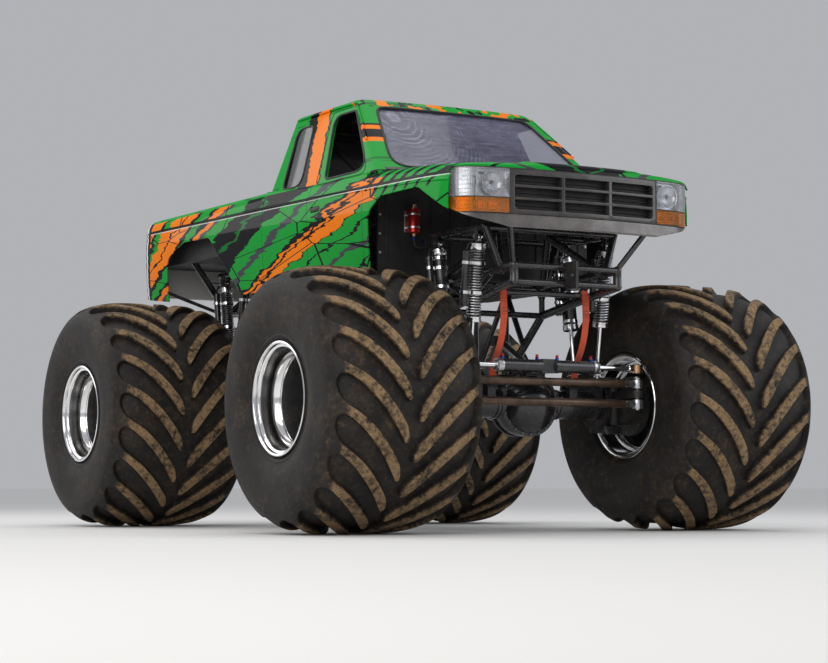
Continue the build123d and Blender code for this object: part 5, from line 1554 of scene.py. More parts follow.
def build_steering():
    for end_name, end in ENDS.items():
        x = end * (AXLE_X + STEER_ARM)
        # Double tie rod
        bm = bmesh.new()
        for height in TIE_Z:
            z = HUB_Z + height
            for side in SIDES.values():
                y = side * KINGPIN_Y
                add_rod_end(bm, (x, y, z), 0.037, 0.062, (0, -side, 0), 2, 3)
                add_tube(bm, (x, y - side * 0.07, z), (x, 0, z),
                    [(0.014, 0), (0.0225, 0.001), (0.0225, 0.018), (0.019, 0.02), (0.019, 0.034),
                    (0.0255, 0.037), (0.0255, 0.075), (TIE_R, 0.082), (TIE_R, -0.0001)], 0)
                for k in range(5):
                    level = 0.072 + k * 0.0028
                    add_tube(bm, (x, y - side * (level + 0.018), z), (x, y - side * (level + 0.0205), z),
                        mm((20.5, 0), (20.5, -0.1)), 1, 24)
        for side in SIDES.values():
            y = side * KINGPIN_Y
            low, high = HUB_Z + TIE_Z[0] - 0.032, HUB_Z + TIE_Z[1] + 0.048
            add_bar(bm, (x, y, low), (x, y, high), 0.0138, sides=24, paint=3)
            for z, way in ((high - 0.016, 1), (low + 0.01, -1)):
                add_bolt(bm, (x, y, z), (0, 0, way), 0.042, 3, 0.016 if way > 0 else 0.009)
            for z in (HUB_Z + TIE_Z[0] - 0.0335, HUB_Z + TIE_Z[1] + 0.0315):
                add_bar(bm, (x, y, z), (x, y, z + 0.004), 0.03, sides=28, paint=1)
        mesh_piece(f"double_tie_rod_{end_name}", bm, [BROWN_TUBE, POLISHED, SATIN_METAL, CHROME],
            [f"tie_rod_{end_name}"], body=f"tie_rod_{end_name}")
        # Cylinder rods
        bm = bmesh.new()
        z = HUB_Z + CYL_Z
        for side in SIDES.values():
            y = side * KINGPIN_Y
            add_tube(bm, (x, side * 0.225, z), (x, y - side * 0.03, z), [(0.0005, 0), (ROD_R - 0.002, 0),
                (ROD_R, 0.002), (ROD_R, -0.045), (0.027, -0.043), (0.027, -0.012), (0.022, -0.006),
                (0.015, -0.001)], 0)
            add_turned(bm, edged(0.013, EYE_R, -0.03, 0.03, 0.004, 0.004), 40, moved((x, y, z)), 1)
            add_turned(bm, mm((10, -27), (14, -29.5), (19, -28.5), (19, 28.5), (14, 29.5), (10, 27)), 32,
                moved((x, y, z)), 0)
            add_bolt(bm, (x, y, z + 0.018), (0, 0, 1), 0.024, 2, 0.011)
        mesh_piece(f"cylinder_rods_{end_name}", bm, [CHROME, BRONZE, DARK_METAL], [f"steer_rods_{end_name}"],
            body=f"steer_rods_{end_name}")
    # Barrels, back to back on each axle's bracket
    bm = bmesh.new()
    for end in ENDS.values():
        x, z = end * (AXLE_X + STEER_ARM), HUB_Z + CYL_Z
        for side in SIDES.values():
            add_tube(bm, (x, side * (CYL_Y[0] + 0.0004), z), (x, side * CYL_Y[1], z),
                mm((0.5, 0), (40, 0), (44.5, 3), (44.5, 30), (41, 34), (41, -60), (42.5, -58), (42.5, -50),
                (45, -48, 1), (45, -12, 1), (43, -9, 1), (34, -6, 1), (34, -1, 1), (19.5, -0.1, 1)), 0, 40)
            for y in (0.078, 0.345):
                base = Vector((x, side * y, z + 0.04))
                add_bar(bm, base, base + Vector((0, 0, 0.016)), 0.013, sides=6, paint=2)
                add_bar(bm, base + Vector((0, 0, 0.012)), base + Vector((0, 0, 0.034)), 0.0095, sides=18,
                    paint=3)
            for turn in range(6):
                angle = pi / 3 * turn + pi / 6
                spot = Vector((x + 0.037 * cos(angle), side * (CYL_Y[1] - 0.006), z + 0.037 * sin(angle)))
                add_bolt(bm, spot, (0, side, 0), 0.009, 1, 0.005)
    mesh_piece("cylinder_barrels", bm, [BLACK_COAT, SATIN_METAL, BLUE_FITTING, RED_FITTING],
        ["steer_barrels"])


def webbing():
    """Woven strap: a fine diagonal weave, and grime in patches."""
    graph = Graph("strap_webbing")
    weave = graph.weave(*graph.axes()[1:], 1500.0)
    tone = graph.mix(weave.step(-0.6, 0.6), (0.52, 0.042, 0.012), (0.88, 0.115, 0.03))
    tone = graph.mix(graph.grain(14, 6.0, 0.7).step(0.45, 0.75) * 0.35, tone, (0.16, 0.05, 0.02))
    graph.bump(weave, 0.6, 0.0006)
    return graph.finish(tone, 0.72, Sheen_Weight=0.3)


WEBBING = webbing()
STITCHES = plain_finish("strap_stitching", (0.02, 0.018, 0.016), (0.05, 0.04, 0.035), 0.7, bump=0.0003,
    fine=400)
STRAP_Y = 0.32
# Places across a strap, as shares of its half width
STRAP_HALF = 0.024
STRAP_SHARES = [k / 3 - 1 for k in range(7)]


def low_rail_z(end, x):
    reach, z = (2.13, 1.59) if end > 0 else (1.99, 1.53)
    return 1.46 + (z - 1.46) * (abs(x) - 1.25) / (reach - 1.25)


def build_straps():
    """Limit straps: slack webbing from the axle's bracket up to a bar of the frame, looped and stitched."""
    bm = bmesh.new()
    for end in ENDS.values():
        x = end * AXLE_X
        head = x + end * 0.25
        route = [(x + end * 0.12, HUB_Z + 0.122), (x + end * 0.128, HUB_Z + 0.19),
            (x + end * 0.156, HUB_Z + 0.266), (x + end * 0.205, HUB_Z + 0.345),
            (x + end * 0.24, HUB_Z + 0.425), (x + end * 0.258, HUB_Z + 0.5), (x + end * 0.264, HUB_Z + 0.565),
            (head + end * 0.005, low_rail_z(end, head) + 0.028)]
        run = smooth_run(route, 6)
        for side in SIDES.values():
            # The strap, and the doubled ends sewn onto it
            for shift, thick, first, last in ((0.0, 0.005, 0, 1), (0.0052, 0.004, 0.82, 0.985),
                    (0.0052, 0.004, 0.02, 0.16)):
                part = run[int(first * (len(run) - 1)):int(last * (len(run) - 1)) + 1]
                columns = [[(p.x + end * (shift - 0.0006 * share ** 4), side * STRAP_Y + STRAP_HALF * share,
                    p.y) for p in part] for share in STRAP_SHARES]
                merge_into(bm, thicken(face_out(grid_from(columns), (end, 0, 0)), thick, 0, 0))
            for at in (0.86, 0.9, 0.94, 0.05, 0.1):
                index = int(at * (len(run) - 1))
                for share in (0, 0.6):
                    spot = run[index].lerp(run[index + 1], share)
                    add_loop_tube(bm, [(spot.x + end * 0.0057, side * STRAP_Y - 0.02, spot.y),
                        (spot.x + end * 0.0057, side * STRAP_Y + 0.02, spot.y)], 0.0011, 6, 1)
            # Loop round the bar above
            bar_x = head - end * 0.0203
            bar_z = low_rail_z(end, bar_x)
            turns = [pi * (-0.35 + 1.55 * t / 16) for t in range(17)]
            columns = [[(bar_x + end * 0.0245 * cos(turn), side * STRAP_Y + STRAP_HALF * share,
                bar_z + 0.0245 * sin(turn)) for turn in turns] for share in STRAP_SHARES]
            merge_into(bm, thicken(face_out(grid_from(columns), (0, 0, 1)), 0.004, 0, 0))
            # Clamp plate and bolts on the axle's bracket
            add_block(bm, (x + end * 0.1255 - 0.004, side * STRAP_Y - 0.028, HUB_Z + 0.118),
                (x + end * 0.1255 + 0.004, side * STRAP_Y + 0.028, HUB_Z + 0.152), 2, 0.0015)
            for shift in (-0.015, 0.015):
                add_bolt(bm, (x + end * 0.1295, side * STRAP_Y + shift, HUB_Z + 0.135), (end, 0, 0), 0.014, 2,
                    0.009)
    mesh_piece("webbing_straps", bm, [WEBBING, STITCHES, DARK_METAL], ["limit_straps"])


build_carried()
build_shocks()
build_steering()
build_straps()


# Bed and tail

BED_X = (-2.3785, -0.286)
BED_HALF = 0.8605
BED_Z = (2.0305, 2.384)
BED_WALL = 0.012
BED_REST = ((-1.664, -1.586), (0.421, 0.479), (1.9755, 2.034))


def build_bed():
    """Open tub with a ribbed floor, pressed walls, a rolled top edge and lashing rings."""
    (rear, front), (low, high), wall = BED_X, BED_Z, BED_WALL
    inner = (rear + wall, front - wall, wall - BED_HALF, BED_HALF - wall)
    bm = carve(prism(rounded(rectangle(rear, front, -BED_HALF, BED_HALF), 0.03), low, high, "z"),
        prism(rounded(rectangle(*inner), 0.045), low + wall, high + 0.1, "z"))
    floor_z = low + wall
    for k in range(15):
        y = -0.77 + k * 0.11
        add_block(bm, (rear + 0.06, y - 0.024, floor_z - 0.001), (front - 0.06, y + 0.024, floor_z + 0.009),
            0, 0.0045)
    for side in SIDES.values():
        for x in spread(rear + 0.14, front - 0.14, 0.26):
            add_block(bm, (x - 0.045, side * (BED_HALF - wall - 0.007), floor_z + 0.05),
                (x + 0.045, side * (BED_HALF - wall + 0.001), high - 0.055), 0, 0.0045)
        for x in (rear + 0.22, front - 0.22):
            ring = moved((x, side * 0.77, floor_z + 0.03)) @ LAID_ALONG_X
            add_turned(bm, mm((17, -4), (21, -4), (24, 0), (21, 4), (17, 4), (15, 0), (17, -4)), 24, ring, 1)
            add_block(bm, (x - 0.02, side * 0.77 - 0.026, floor_z + 0.008),
                (x + 0.02, side * 0.77 + 0.026, floor_z + 0.014), 1, 0.002)
        xs, ys, zs = BED_REST
        add_block(bm, (xs[0], side * ys[0], zs[0]), (xs[1], side * ys[1], zs[1]), 0, 0.004)
    for k in range(4):
        y = -0.63 + k * 0.42
        add_block(bm, (front - wall - 0.007, y - 0.14, floor_z + 0.05),
            (front - wall + 0.001, y + 0.14, high - 0.055), 0, 0.0045)
    rim = rectangle(rear + 0.007, front - 0.007, 0.007 - BED_HALF, BED_HALF - 0.007)
    edge = [Vector((*point, high - 0.006)) for point in rounded(rim, 0.035)]
    add_loop_tube(bm, edge + edge[:1], 0.0068)
    mesh_piece("ribbed_bed_tub", bm, [LINER_BLACK, SATIN_METAL], ["bed_liner"])


TAIL_X = (-2.4245, -2.381)
TAIL_HALF = 0.8292
TAIL_Z = (1.8005, 2.3995)
HINGE_Y = 0.6
HANDLE_HOLE = (-0.085, 0.085, 2.342, 2.384)


def build_tail(paint):
    outline = rounded(rectangle(-TAIL_HALF, TAIL_HALF, *TAIL_Z), 0.02)
    dish = rounded(rectangle(-0.708, 0.708, 1.922, 2.325), 0.045)
    gate = carve(prism(outline, *TAIL_X, "x"), prism(dish, TAIL_X[0] - 0.05, TAIL_X[0] + 0.01, "x"),
        prism(rounded(rectangle(*HANDLE_HOLE), 0.01), TAIL_X[0] - 0.05, TAIL_X[0] + 0.014,
        "x"))
    bevel(gate, sharp_edges(gate, 60), 0.005, 3)
    add_prism(gate, rounded(rectangle(-0.64, 0.64, 1.985, 2.262), 0.035), TAIL_X[0] + 0.003,
        TAIL_X[0] + 0.013, "x", ease=0.004, segments=3)
    mesh_piece("pressed_tailgate", gate, [paint, LINER_BLACK], ["tailgate"])
    bm = bmesh.new()
    add_block(bm, (TAIL_X[0] + 0.006, -0.076, 2.35), (TAIL_X[0] + 0.0145, 0.076, 2.377), 0, 0.003)
    for side in SIDES.values():
        add_block(bm, (TAIL_X[0] - 0.004, side * HINGE_Y - 0.035, 1.812),
            (TAIL_X[0] + 0.004, side * HINGE_Y + 0.035, 1.85), 0, 0.003)
        add_bar(bm, (TAIL_X[0] - 0.003, side * HINGE_Y - 0.045, 1.808),
            (TAIL_X[0] - 0.003, side * HINGE_Y + 0.045, 1.808), 0.0075, sides=16, rim=0.001)
        for y in (-0.02, 0.02):
            add_bolt(bm, (TAIL_X[0] - 0.004, side * HINGE_Y + y, 1.834), (-1, 0, 0), 0.01, head=0.005)
    mesh_piece("tailgate_handle_hinges", bm, [SATIN_BLACK])
    # Tail lamps: a black housing, and a ribbed lens with a clear part for reversing
    bm = bmesh.new()
    for side in SIDES.values():
        low, high = sorted((side * 0.8312, side * 0.8912))
        add_block(bm, (-2.394, low, 2.0805), (-2.3855, high, 2.3395), 1, 0.002)
        for z_low, z_high, tone in ((2.084, 2.162, 0), (2.166, 2.212, 2), (2.216, 2.336, 0)):
            add_block(bm, (-2.4235, low + 0.004, z_low), (-2.392, high - 0.004, z_high), tone, 0.005)
            for z in spread(z_low + 0.01, z_high - 0.01, 0.012):
                add_block(bm, (-2.4245, low + 0.01, z - 0.0012), (-2.4225, high - 0.01, z + 0.0012), tone,
                    0.0006)
    mesh_piece("tail_lamp_units", bm, [RED_LENS, SATIN_BLACK, MILK_LENS], ["tail_lamps"])


# Engine: a supercharged V8 amidships, in the room that the CAD block takes

BANK_TILT = radians(45)
PORTS_X = [-0.235 - k * 0.125 for k in range(4)]
# Where the bell housing meets the transfer case
ENGINE_POINT = (-0.757, 0.0, 1.325)


def build_engine():
    """Finishes: 0 cast block, 1 polished, 2 dark metal, 3 black, 4 bronze headers, 5 hose rubber."""
    bm = bmesh.new()
    add_block(bm, (-0.705, -0.125, 1.201), (-0.155, 0.125, 1.272), 3, 0.012)
    add_block(bm, (-0.7, -0.165, 1.268), (-0.14, 0.165, 1.385), 0, 0.008)
    for x in spread(-0.66, -0.18, 0.12):
        add_block(bm, (x - 0.006, -0.172, 1.275), (x + 0.006, 0.172, 1.375), 0, 0.002)
    for side in SIDES.values():
        lean = Matrix.Rotation(-side * BANK_TILT, 4, "X")
        bank = moved((-0.42, side * 0.035, 1.325)) @ lean
        # Cylinder head, its cover and the cover's raised top
        for place, size, tone, ease in (((0, 0, 0.115), (0.535, 0.15, 0.11), 0, 0.008),
                ((0, 0, 0.192), (0.545, 0.165, 0.05), 1, 0.006), ((0, 0, 0.228), (0.5, 0.11, 0.036), 1,
                0.014)):
            add_box(bm, bank @ moved(place), size, tone, ease)
        for x in spread(-0.22, 0.22, 0.11):
            add_bolt(bm, bank @ Vector((x, 0, 0.245)), lean @ Vector((0, 0, 1)), 0.014, 2, 0.008)
        # Headers: four short pipes that turn down and run back into one collector
        for k, x in enumerate(PORTS_X):
            points = [(x, side * 0.165, 1.365), (x, side * 0.232, 1.385), (x - 0.01, side * 0.272, 1.35),
                (x - 0.05, side * 0.272, 1.27), (x - 0.1, side * (0.262 - 0.008 * k), 1.243)]
            add_pipe(bm, points, 0.0215, 12, 4)
            add_block(bm, (x - 0.034, side * 0.16, 1.338), (x + 0.034, side * 0.172, 1.392), 4, 0.003)
        add_bar(bm, (-0.33, side * 0.258, 1.24), (-0.745, side * 0.25, 1.24), 0.03, 0.036, sides=24, paint=4,
            rim=0.003)
        # Plug leads, running up to the cover
        for x in PORTS_X:
            add_pipe(bm, [(x + 0.02, side * 0.19, 1.4), (x + 0.02, side * 0.222, 1.44),
                (x + 0.03, side * 0.205, 1.485), (x + 0.03, side * 0.172, 1.512)], 0.0045, 8, 5)
    # Blower case with its ribs, end plates, drive pulleys and belt
    add_block(bm, (-0.64, -0.105, 1.44), (-0.2, 0.105, 1.475), 1, 0.005)
    add_block(bm, (-0.655, -0.128, 1.47), (-0.185, 0.128, 1.572), 1, 0.022)
    for k in range(9):
        y = -0.108 + k * 0.027
        add_block(bm, (-0.64, y - 0.003, 1.568), (-0.2, y + 0.003, 1.58), 1, 0.002)
    for side in SIDES.values():
        for z in spread(1.49, 1.552, 0.0155):
            add_block(bm, (-0.64, side * 0.12, z - 0.003), (-0.2, side * 0.134, z + 0.003), 1, 0.002)
    for x in (-0.664, -0.176):
        add_block(bm, (x - 0.01, -0.138, 1.462), (x + 0.01, 0.138, 1.578), 2, 0.006)
    for y, z, radius in ((0.0, 1.52, 0.058), (0.0, 1.292, 0.082), (0.088, 1.4, 0.036)):
        half = [(radius, 0.026), (radius + 0.004, 0.026), (radius + 0.004, 0.03), (radius - 0.014, 0.03),
            (radius - 0.018, 0.034), (0.006, 0.034)]
        outline = [(reach, -height) for reach, height in reversed(half)] + half
        add_turned(bm, outline, 40, moved((-0.112, y, z)) @ LAID_ALONG_X, 1)
        add_bolt(bm, (-0.08, y, z), (1, 0, 0), 0.022, 2, 0.014)
    belt = mm((58.5, 1520), (38, 1564), (0, 1579.5), (-38, 1564), (-58.5, 1520), (-70, 1400), (-83, 1292),
        (-60, 1234), (0, 1209), (60, 1234), (83, 1292), (56, 1355), (51.5, 1400), (56, 1445))
    run = smooth_run(belt + belt[:1], 6)
    strap = grid_from([[(x, p.x, p.y) for p in run] for x in (-0.134, -0.112, -0.09)])
    bmesh.ops.recalc_face_normals(strap, faces=strap.faces)
    bmesh.ops.solidify(strap, geom=strap.faces[:], thickness=0.004)
    merge_into(bm, strap, 5)
    # Air scoop with three round throats towards the front
    scoop = mm((-585, 1576), (-265, 1576), (-255, 1638.5), (-300, 1638.5), (-585, 1604))
    add_prism(bm, scoop, -0.112, 0.112, paint=3, ease=0.006, angle=30)
    for y in (-0.068, 0.0, 0.068):
        add_turned(bm, mm((0.5, -4), (22, -4), (24, 4), (28, 5), (29, 0), (29, -10)), 28,
            moved((-0.256, y, 1.608)) @ LAID_ALONG_X, 1)
    # Bell housing towards the transfer case, starter, filters, breathers
    add_tube(bm, (-0.69, 0, 1.325), ENGINE_POINT, mm((0.5, 0), (115, 1), (118, 12), (100, 20), (86, -4),
        (0.5, -0.1)), 0, 48)
    for side, z, radius, length in ((1, 1.232, 0.036, 0.2), (-1, 1.24, 0.03, 0.16)):
        add_bar(bm, (-0.15, side * 0.205, z), (-0.15 - length, side * 0.205, z), radius, sides=28, paint=3,
            rim=0.004)
    for x in (-0.6, -0.24):
        add_bar(bm, (x, -0.168, 1.497), (x, -0.168, 1.54), 0.018, sides=20, paint=1, rim=0.003)
    # Mounts to the frame
    for side in SIDES.values():
        for x in (-0.64, -0.2):
            add_block(bm, (x - 0.03, side * 0.16, 1.29), (x + 0.03, side * 0.222, 1.302), 3, 0.003)
            add_bar(bm, (x, side * 0.2, 1.262), (x, side * 0.2, 1.29), 0.022, sides=20, paint=5, rim=0.003)
            add_block(bm, (x - 0.026, side * 0.184, 1.25), (x + 0.026, side * 0.298, 1.262), 3, 0.003)
    mesh_piece("supercharged_v8", bm, [CAST_METAL, POLISHED, DARK_METAL, BLACK_COAT, HEADER_METAL,
        HOSE_RUBBER], ["engine"])


# Seat with its harness, and the driver's controls

SEAT_SIDE = ((0.416, 1.7), (0.419, 1.775), (0.392, 1.822), (0.3, 1.85), (0.2, 1.862), (0.142, 1.885),
    (0.13, 1.94), (0.128, 2.09), (0.108, 2.23), (0.04, 2.33), (0.01, 2.4), (0.03, 2.46), (0.036, 2.54),
    (0.008, 2.585), (-0.06, 2.592), (-0.097, 2.585), (-0.06, 2.15), (-0.034, 1.716), (0.02, 1.699))


def pad(bm, matrix, size, crown, channels, depth=0.01):
    """A stuffed pad: crowned both ways, drawn in between its corners, with sewn channels along it."""
    part = bmesh.new()
    bmesh.ops.create_cube(part, size=2)
    bmesh.ops.subdivide_edges(part, edges=part.edges[:], cuts=15, use_grid_fill=True)
    for vert in part.verts:
        a, b, c = vert.co
        flat_a, flat_b = sqrt(max(0.0, 1 - a ** 4)), sqrt(max(0.0, 1 - b ** 4))
        swell = 1 - crown + crown * flat_a * flat_b
        rise = c * swell
        if c > 0:
            rise -= sum(depth / size[2] * 2 * 2.718 ** -(((b - place) / 0.07) ** 2) * flat_a
                for place in channels)
        pull_a, pull_b = 1 - 0.035 * (1 - b * b) * abs(a), 1 - 0.035 * (1 - a * a) * abs(b)
        edge = 1 - 0.05 * c * c
        vert.co = (a * pull_a * edge * size[0] / 2, b * pull_b * edge * size[1] / 2, rise * size[2] / 2)
    bmesh.ops.transform(part, matrix=matrix, verts=part.verts)
    merge_into(bm, part)


def strip(bm, run, width, thick, across):
    """A flat strap of webbing along a run of points."""
    points = smooth_run(run, 6)
    across = Vector(across).normalized()
    sheet = grid_from([[p + across * width * (k / 4 - 0.5) for p in points] for k in range(5)])
    bmesh.ops.solidify(sheet, geom=sheet.faces[:], thickness=thick)
    bmesh.ops.recalc_face_normals(sheet, faces=sheet.faces)
    merge_into(bm, sheet)


def build_seat():
    bm = bmesh.new()
    for side in SIDES.values():
        add_prism(bm, smooth_outline(SEAT_SIDE), side * 0.2255, side * 0.2335, ease=0.0025, angle=50)
        add_loop_tube(bm, [(p[0], side * 0.2295, p[1]) for p in smooth_outline(SEAT_SIDE)[:70]], 0.0045,
            paint=1)
    add_block(bm, (0.02, -0.227, 1.6965), (0.416, 0.227, 1.712), 0, 0.003)
    add_prism(bm, mm((-40, 1712), (-30, 1712), (-86, 2590), (-96.5, 2590)), -0.227, 0.227)
    for y in (-0.085, 0.085):
        add_block(bm, (-0.0985, y - 0.034, 2.33), (-0.078, y + 0.034, 2.352), 1, 0.003)
    mesh_piece("seat_shell", bm, [BLACK_COAT, RUBBER_TRIM], ["seat"])
    lean = Matrix.Rotation(radians(-86.2), 4, "Y")
    pads = (
        # name, centre, size, whether it stands along the back, crown, channels, fullness
        ("seat_pad", (0.218, 0.0, 1.765), (0.35, 0.3, 0.11), False, 0.35, (-0.5, 0.0, 0.5), 0.7),
        ("thigh_pad_left", (0.225, 0.186, 1.79), (0.345, 0.072, 0.15), False, 0.4, (), 0.8),
        ("thigh_pad_right", (0.225, -0.186, 1.79), (0.345, 0.072, 0.15), False, 0.4, (), 0.8),
        ("back_pad", (-0.01, 0.0, 2.05), (0.47, 0.29, 0.095), True, 0.35, (-0.5, 0.0, 0.5), 0.7),
        ("rib_pad_left", (0.02, 0.184, 2.08), (0.36, 0.072, 0.165), True, 0.4, (), 0.8),
        ("rib_pad_right", (0.02, -0.184, 2.08), (0.36, 0.072, 0.165), True, 0.4, (), 0.8),
        ("head_pad", (-0.04, 0.0, 2.465), (0.19, 0.3, 0.075), True, 0.4, (), 0.8),
        ("head_wing_left", (-0.018, 0.193, 2.47), (0.18, 0.058, 0.11), True, 0.4, (), 0.8),
        ("head_wing_right", (-0.018, -0.193, 2.47), (0.18, 0.058, 0.11), True, 0.4, (), 0.8),
    )
    for name, centre, size, upright, crown, channels, fill in pads:
        bm = bmesh.new()
        pad(bm, moved(centre) @ (lean.inverted() if upright else Matrix.Identity(4)), size, crown, channels)
        piece = mesh_piece(name, bm, [SEAT_CLOTH], soft_angle=80)
    # Harness: shoulder, lap and crotch straps to a round buckle
    bm = bmesh.new()
    for side in SIDES.values():
        strip(bm, [(-0.1, side * 0.085, 2.345), (-0.03, side * 0.085, 2.352), (0.022, side * 0.083, 2.3),
            (0.056, side * 0.076, 2.15), (0.075, side * 0.055, 2.02), (0.11, side * 0.03, 1.93)], 0.05,
            0.0025, (0, 1, 0))
        strip(bm, [(0.06, side * 0.222, 1.8), (0.07, side * 0.205, 1.868), (0.09, side * 0.15, 1.878),
            (0.11, side * 0.08, 1.892), (0.118, side * 0.025, 1.905)], 0.05, 0.0025, (0.4, 0, 0.9))
        add_block(bm, (0.06, side * 0.052 - 0.03, 2.035), (0.078, side * 0.052 + 0.03, 2.062), 1, 0.003)
    strip(bm, [(0.19, 0.0, 1.816), (0.16, 0.0, 1.836), (0.132, 0.0, 1.88), (0.122, 0.0, 1.905)], 0.045,
        0.0025, (0, 1, 0))
    add_turned(bm, mm((0.5, 13), (24, 12), (29, 8), (30, -8), (26, -12), (0.5, -12)), 32,
        aimed((0.12, 0, 1.908), (0.17, 0, 1.935)), 1)
    mesh_piece("seat_harness", bm, [WEBBING, SATIN_METAL], soft_angle=40)


def smooth_outline(points):
    return smooth_run([Vector(p) for p in points] + [Vector(points[0])], 4)[:-1]


def build_controls():
    """Gauges and switches on the dash panel, the shift lever and the pedals."""
    bm = bmesh.new()
    add_prism(bm, rounded(rectangle(-0.235, 0.235, 2.105, 2.3), 0.03), 1.094, 1.1395, "x", ease=0.004)
    towards = Matrix.Rotation(-pi / 2, 4, "Y")
    for y, z, radius in ((0.0, 2.205, 0.052), (0.125, 2.215, 0.036), (-0.125, 2.215, 0.036),
            (0.2, 2.15, 0.024), (-0.2, 2.15, 0.024)):
        place = moved((1.0945, y, z)) @ towards
        add_turned(bm, [(radius - 0.006, 0.0), (radius, 0.0), (radius, 0.008), (radius - 0.003, 0.011),
            (radius - 0.006, 0.008), (radius - 0.007, 0.002)], 36, place, 1)
        add_turned(bm, [(0.0005, 0.003), (radius - 0.006, 0.003)], 36, place, 2)
        add_block(bm, (1.0895, y - 0.0015, z - 0.004), (1.0915, y + 0.0015, z + radius * 0.7), 3, 0.0004)
        add_bar(bm, (1.0885, y, z), (1.092, y, z), 0.005, sides=14, paint=1)
    add_prism(bm, rounded(rectangle(-0.52, -0.3, 2.14, 2.27), 0.015), 1.12, 1.1395, "x")
    for k in range(6):
        y = -0.49 + k * 0.032
        add_bar(bm, (1.112, y, 2.225), (1.12, y, 2.225), 0.007, sides=12, paint=1)
        add_bar(bm, (1.09, y, 2.233), (1.113, y, 2.225), 0.0028, 0.0038, sides=10, paint=1)
        add_bar(bm, (1.117, y, 2.18), (1.12, y, 2.18), 0.006, sides=12, paint=3)
    # Shift lever in its gate
    add_block(bm, (0.56, -0.345, 1.6955), (0.79, -0.245, 1.8), 0, 0.012)
    add_bar(bm, (0.68, -0.295, 1.795), (0.64, -0.295, 2.03), 0.008, sides=14, paint=1)
    add_turned(bm, mm((0.5, 24), (15, 19), (22, 6), (22, -6), (15, -19), (6, -24)), 24,
        moved((0.638, -0.295, 2.048)), 2)
    for y, width in ((0.09, 0.05), (-0.1, 0.075)):
        place = moved((1.025, y, 1.805)) @ Matrix.Rotation(radians(-28), 4, "Y")
        add_box(bm, place, (0.01, width, 0.12), 1, 0.002)
        add_pipe(bm, [(1.032, y, 1.82), (1.07, y, 1.88), (1.138, y, 1.96)], 0.008, 10, 0)
    mesh_piece("driver_controls", bm, [SATIN_BLACK, SATIN_METAL, RUBBER_TRIM, RED_FITTING])


# Bolted-on detail of axles, knuckles and frame

def build_axle_detail():
    bm = bmesh.new()
    for end in ENDS.values():
        x = end * AXLE_X
        # Flanges of the centre drum, and the brake disc with its caliper on the pinion
        for at, radius, way in ((0.072, 0.212, 1), (-0.082, 0.212, -1)):
            place = aimed((x + end * at, 0, HUB_Z), (x + end * (at + 1), 0, HUB_Z))
            add_turned(bm, edged(0.15, radius + 0.004, -0.009, 0.009, 0.004, 0.003), 56, place)
            ring_of_bolts(bm, (x + end * (at + way * 0.009), 0, HUB_Z), (end * way, 0, 0), 0.2025, 20, 0.015,
                0.009, 1)
        disc = aimed((x - end * 0.318, 0, HUB_Z + 0.037), (x - end * 0.345, 0, HUB_Z + 0.04))
        add_turned(bm, edged(0.08, 0.142, -0.007, 0.007, 0.002, 0.002), 56, disc, 2)
        add_box(bm, disc @ moved((0, 0.128, 0)), (0.11, 0.06, 0.058), 3, 0.006)
        for side in SIDES.values():
            # Cuffs along the axle tube, hard brake line with its clips
            for y in (0.215, 0.245, 0.545):
                add_tube(bm, (x, side * (y - 0.008), HUB_Z), (x, side * (y + 0.008), HUB_Z),
                    sleeve(0.094, 0.101), 0, 44)
            line = [(x - end * 0.07, side * 0.225, HUB_Z + 0.078),
                (x - end * 0.066, side * 0.3, HUB_Z + 0.075), (x - end * 0.066, side * 0.45, HUB_Z + 0.075),
                (x - end * 0.078, side * 0.575, HUB_Z + 0.095)]
            add_pipe(bm, line, 0.0032, 8, 4)
            for y in (0.31, 0.47):
                add_block(bm, (x - end * 0.074, side * y - 0.006, HUB_Z + 0.066),
                    (x - end * 0.056, side * y + 0.006, HUB_Z + 0.082), 1, 0.002)
            for up in (1, -1):
                ring_of_bolts(bm, (x, side * KINGPIN_Y, HUB_Z + up * 0.185), (0, 0, up), 0.04, 6, 0.011,
                    0.007, 1)
    mesh_piece("axle_fittings", bm, [BLACK_COAT, DARK_METAL, SATIN_METAL, RED_FITTING, STEEL_LINE])
    for corner, end, side in CORNERS:
        bm = bmesh.new()
        x = end * AXLE_X
        ring_of_bolts(bm, (x, side * 0.84, HUB_Z), (0, -side, 0), 0.178, 16, 0.016, 0.01)
        for up in (1, -1):
            z = HUB_Z + up * 0.13
            add_tube(bm, (x, side * KINGPIN_Y, z - up * 0.012), (x, side * KINGPIN_Y, z + up * 0.0005),
                mm((49.5, 0), (52.5, 2), (52.5, -2), (49.5, -0.1)), 1, 36)
        for k in range(5):
            y = side * (0.89 + k * 0.018)
            add_tube(bm, (x, y - 0.003, HUB_Z), (x, y + 0.003, HUB_Z), sleeve(0.1245, 0.13), 1, 48)
        mesh_piece(f"knuckle_fittings_{corner}", bm, [DARK_METAL, SATIN_BLACK], body=f"knuckle_{corner}")


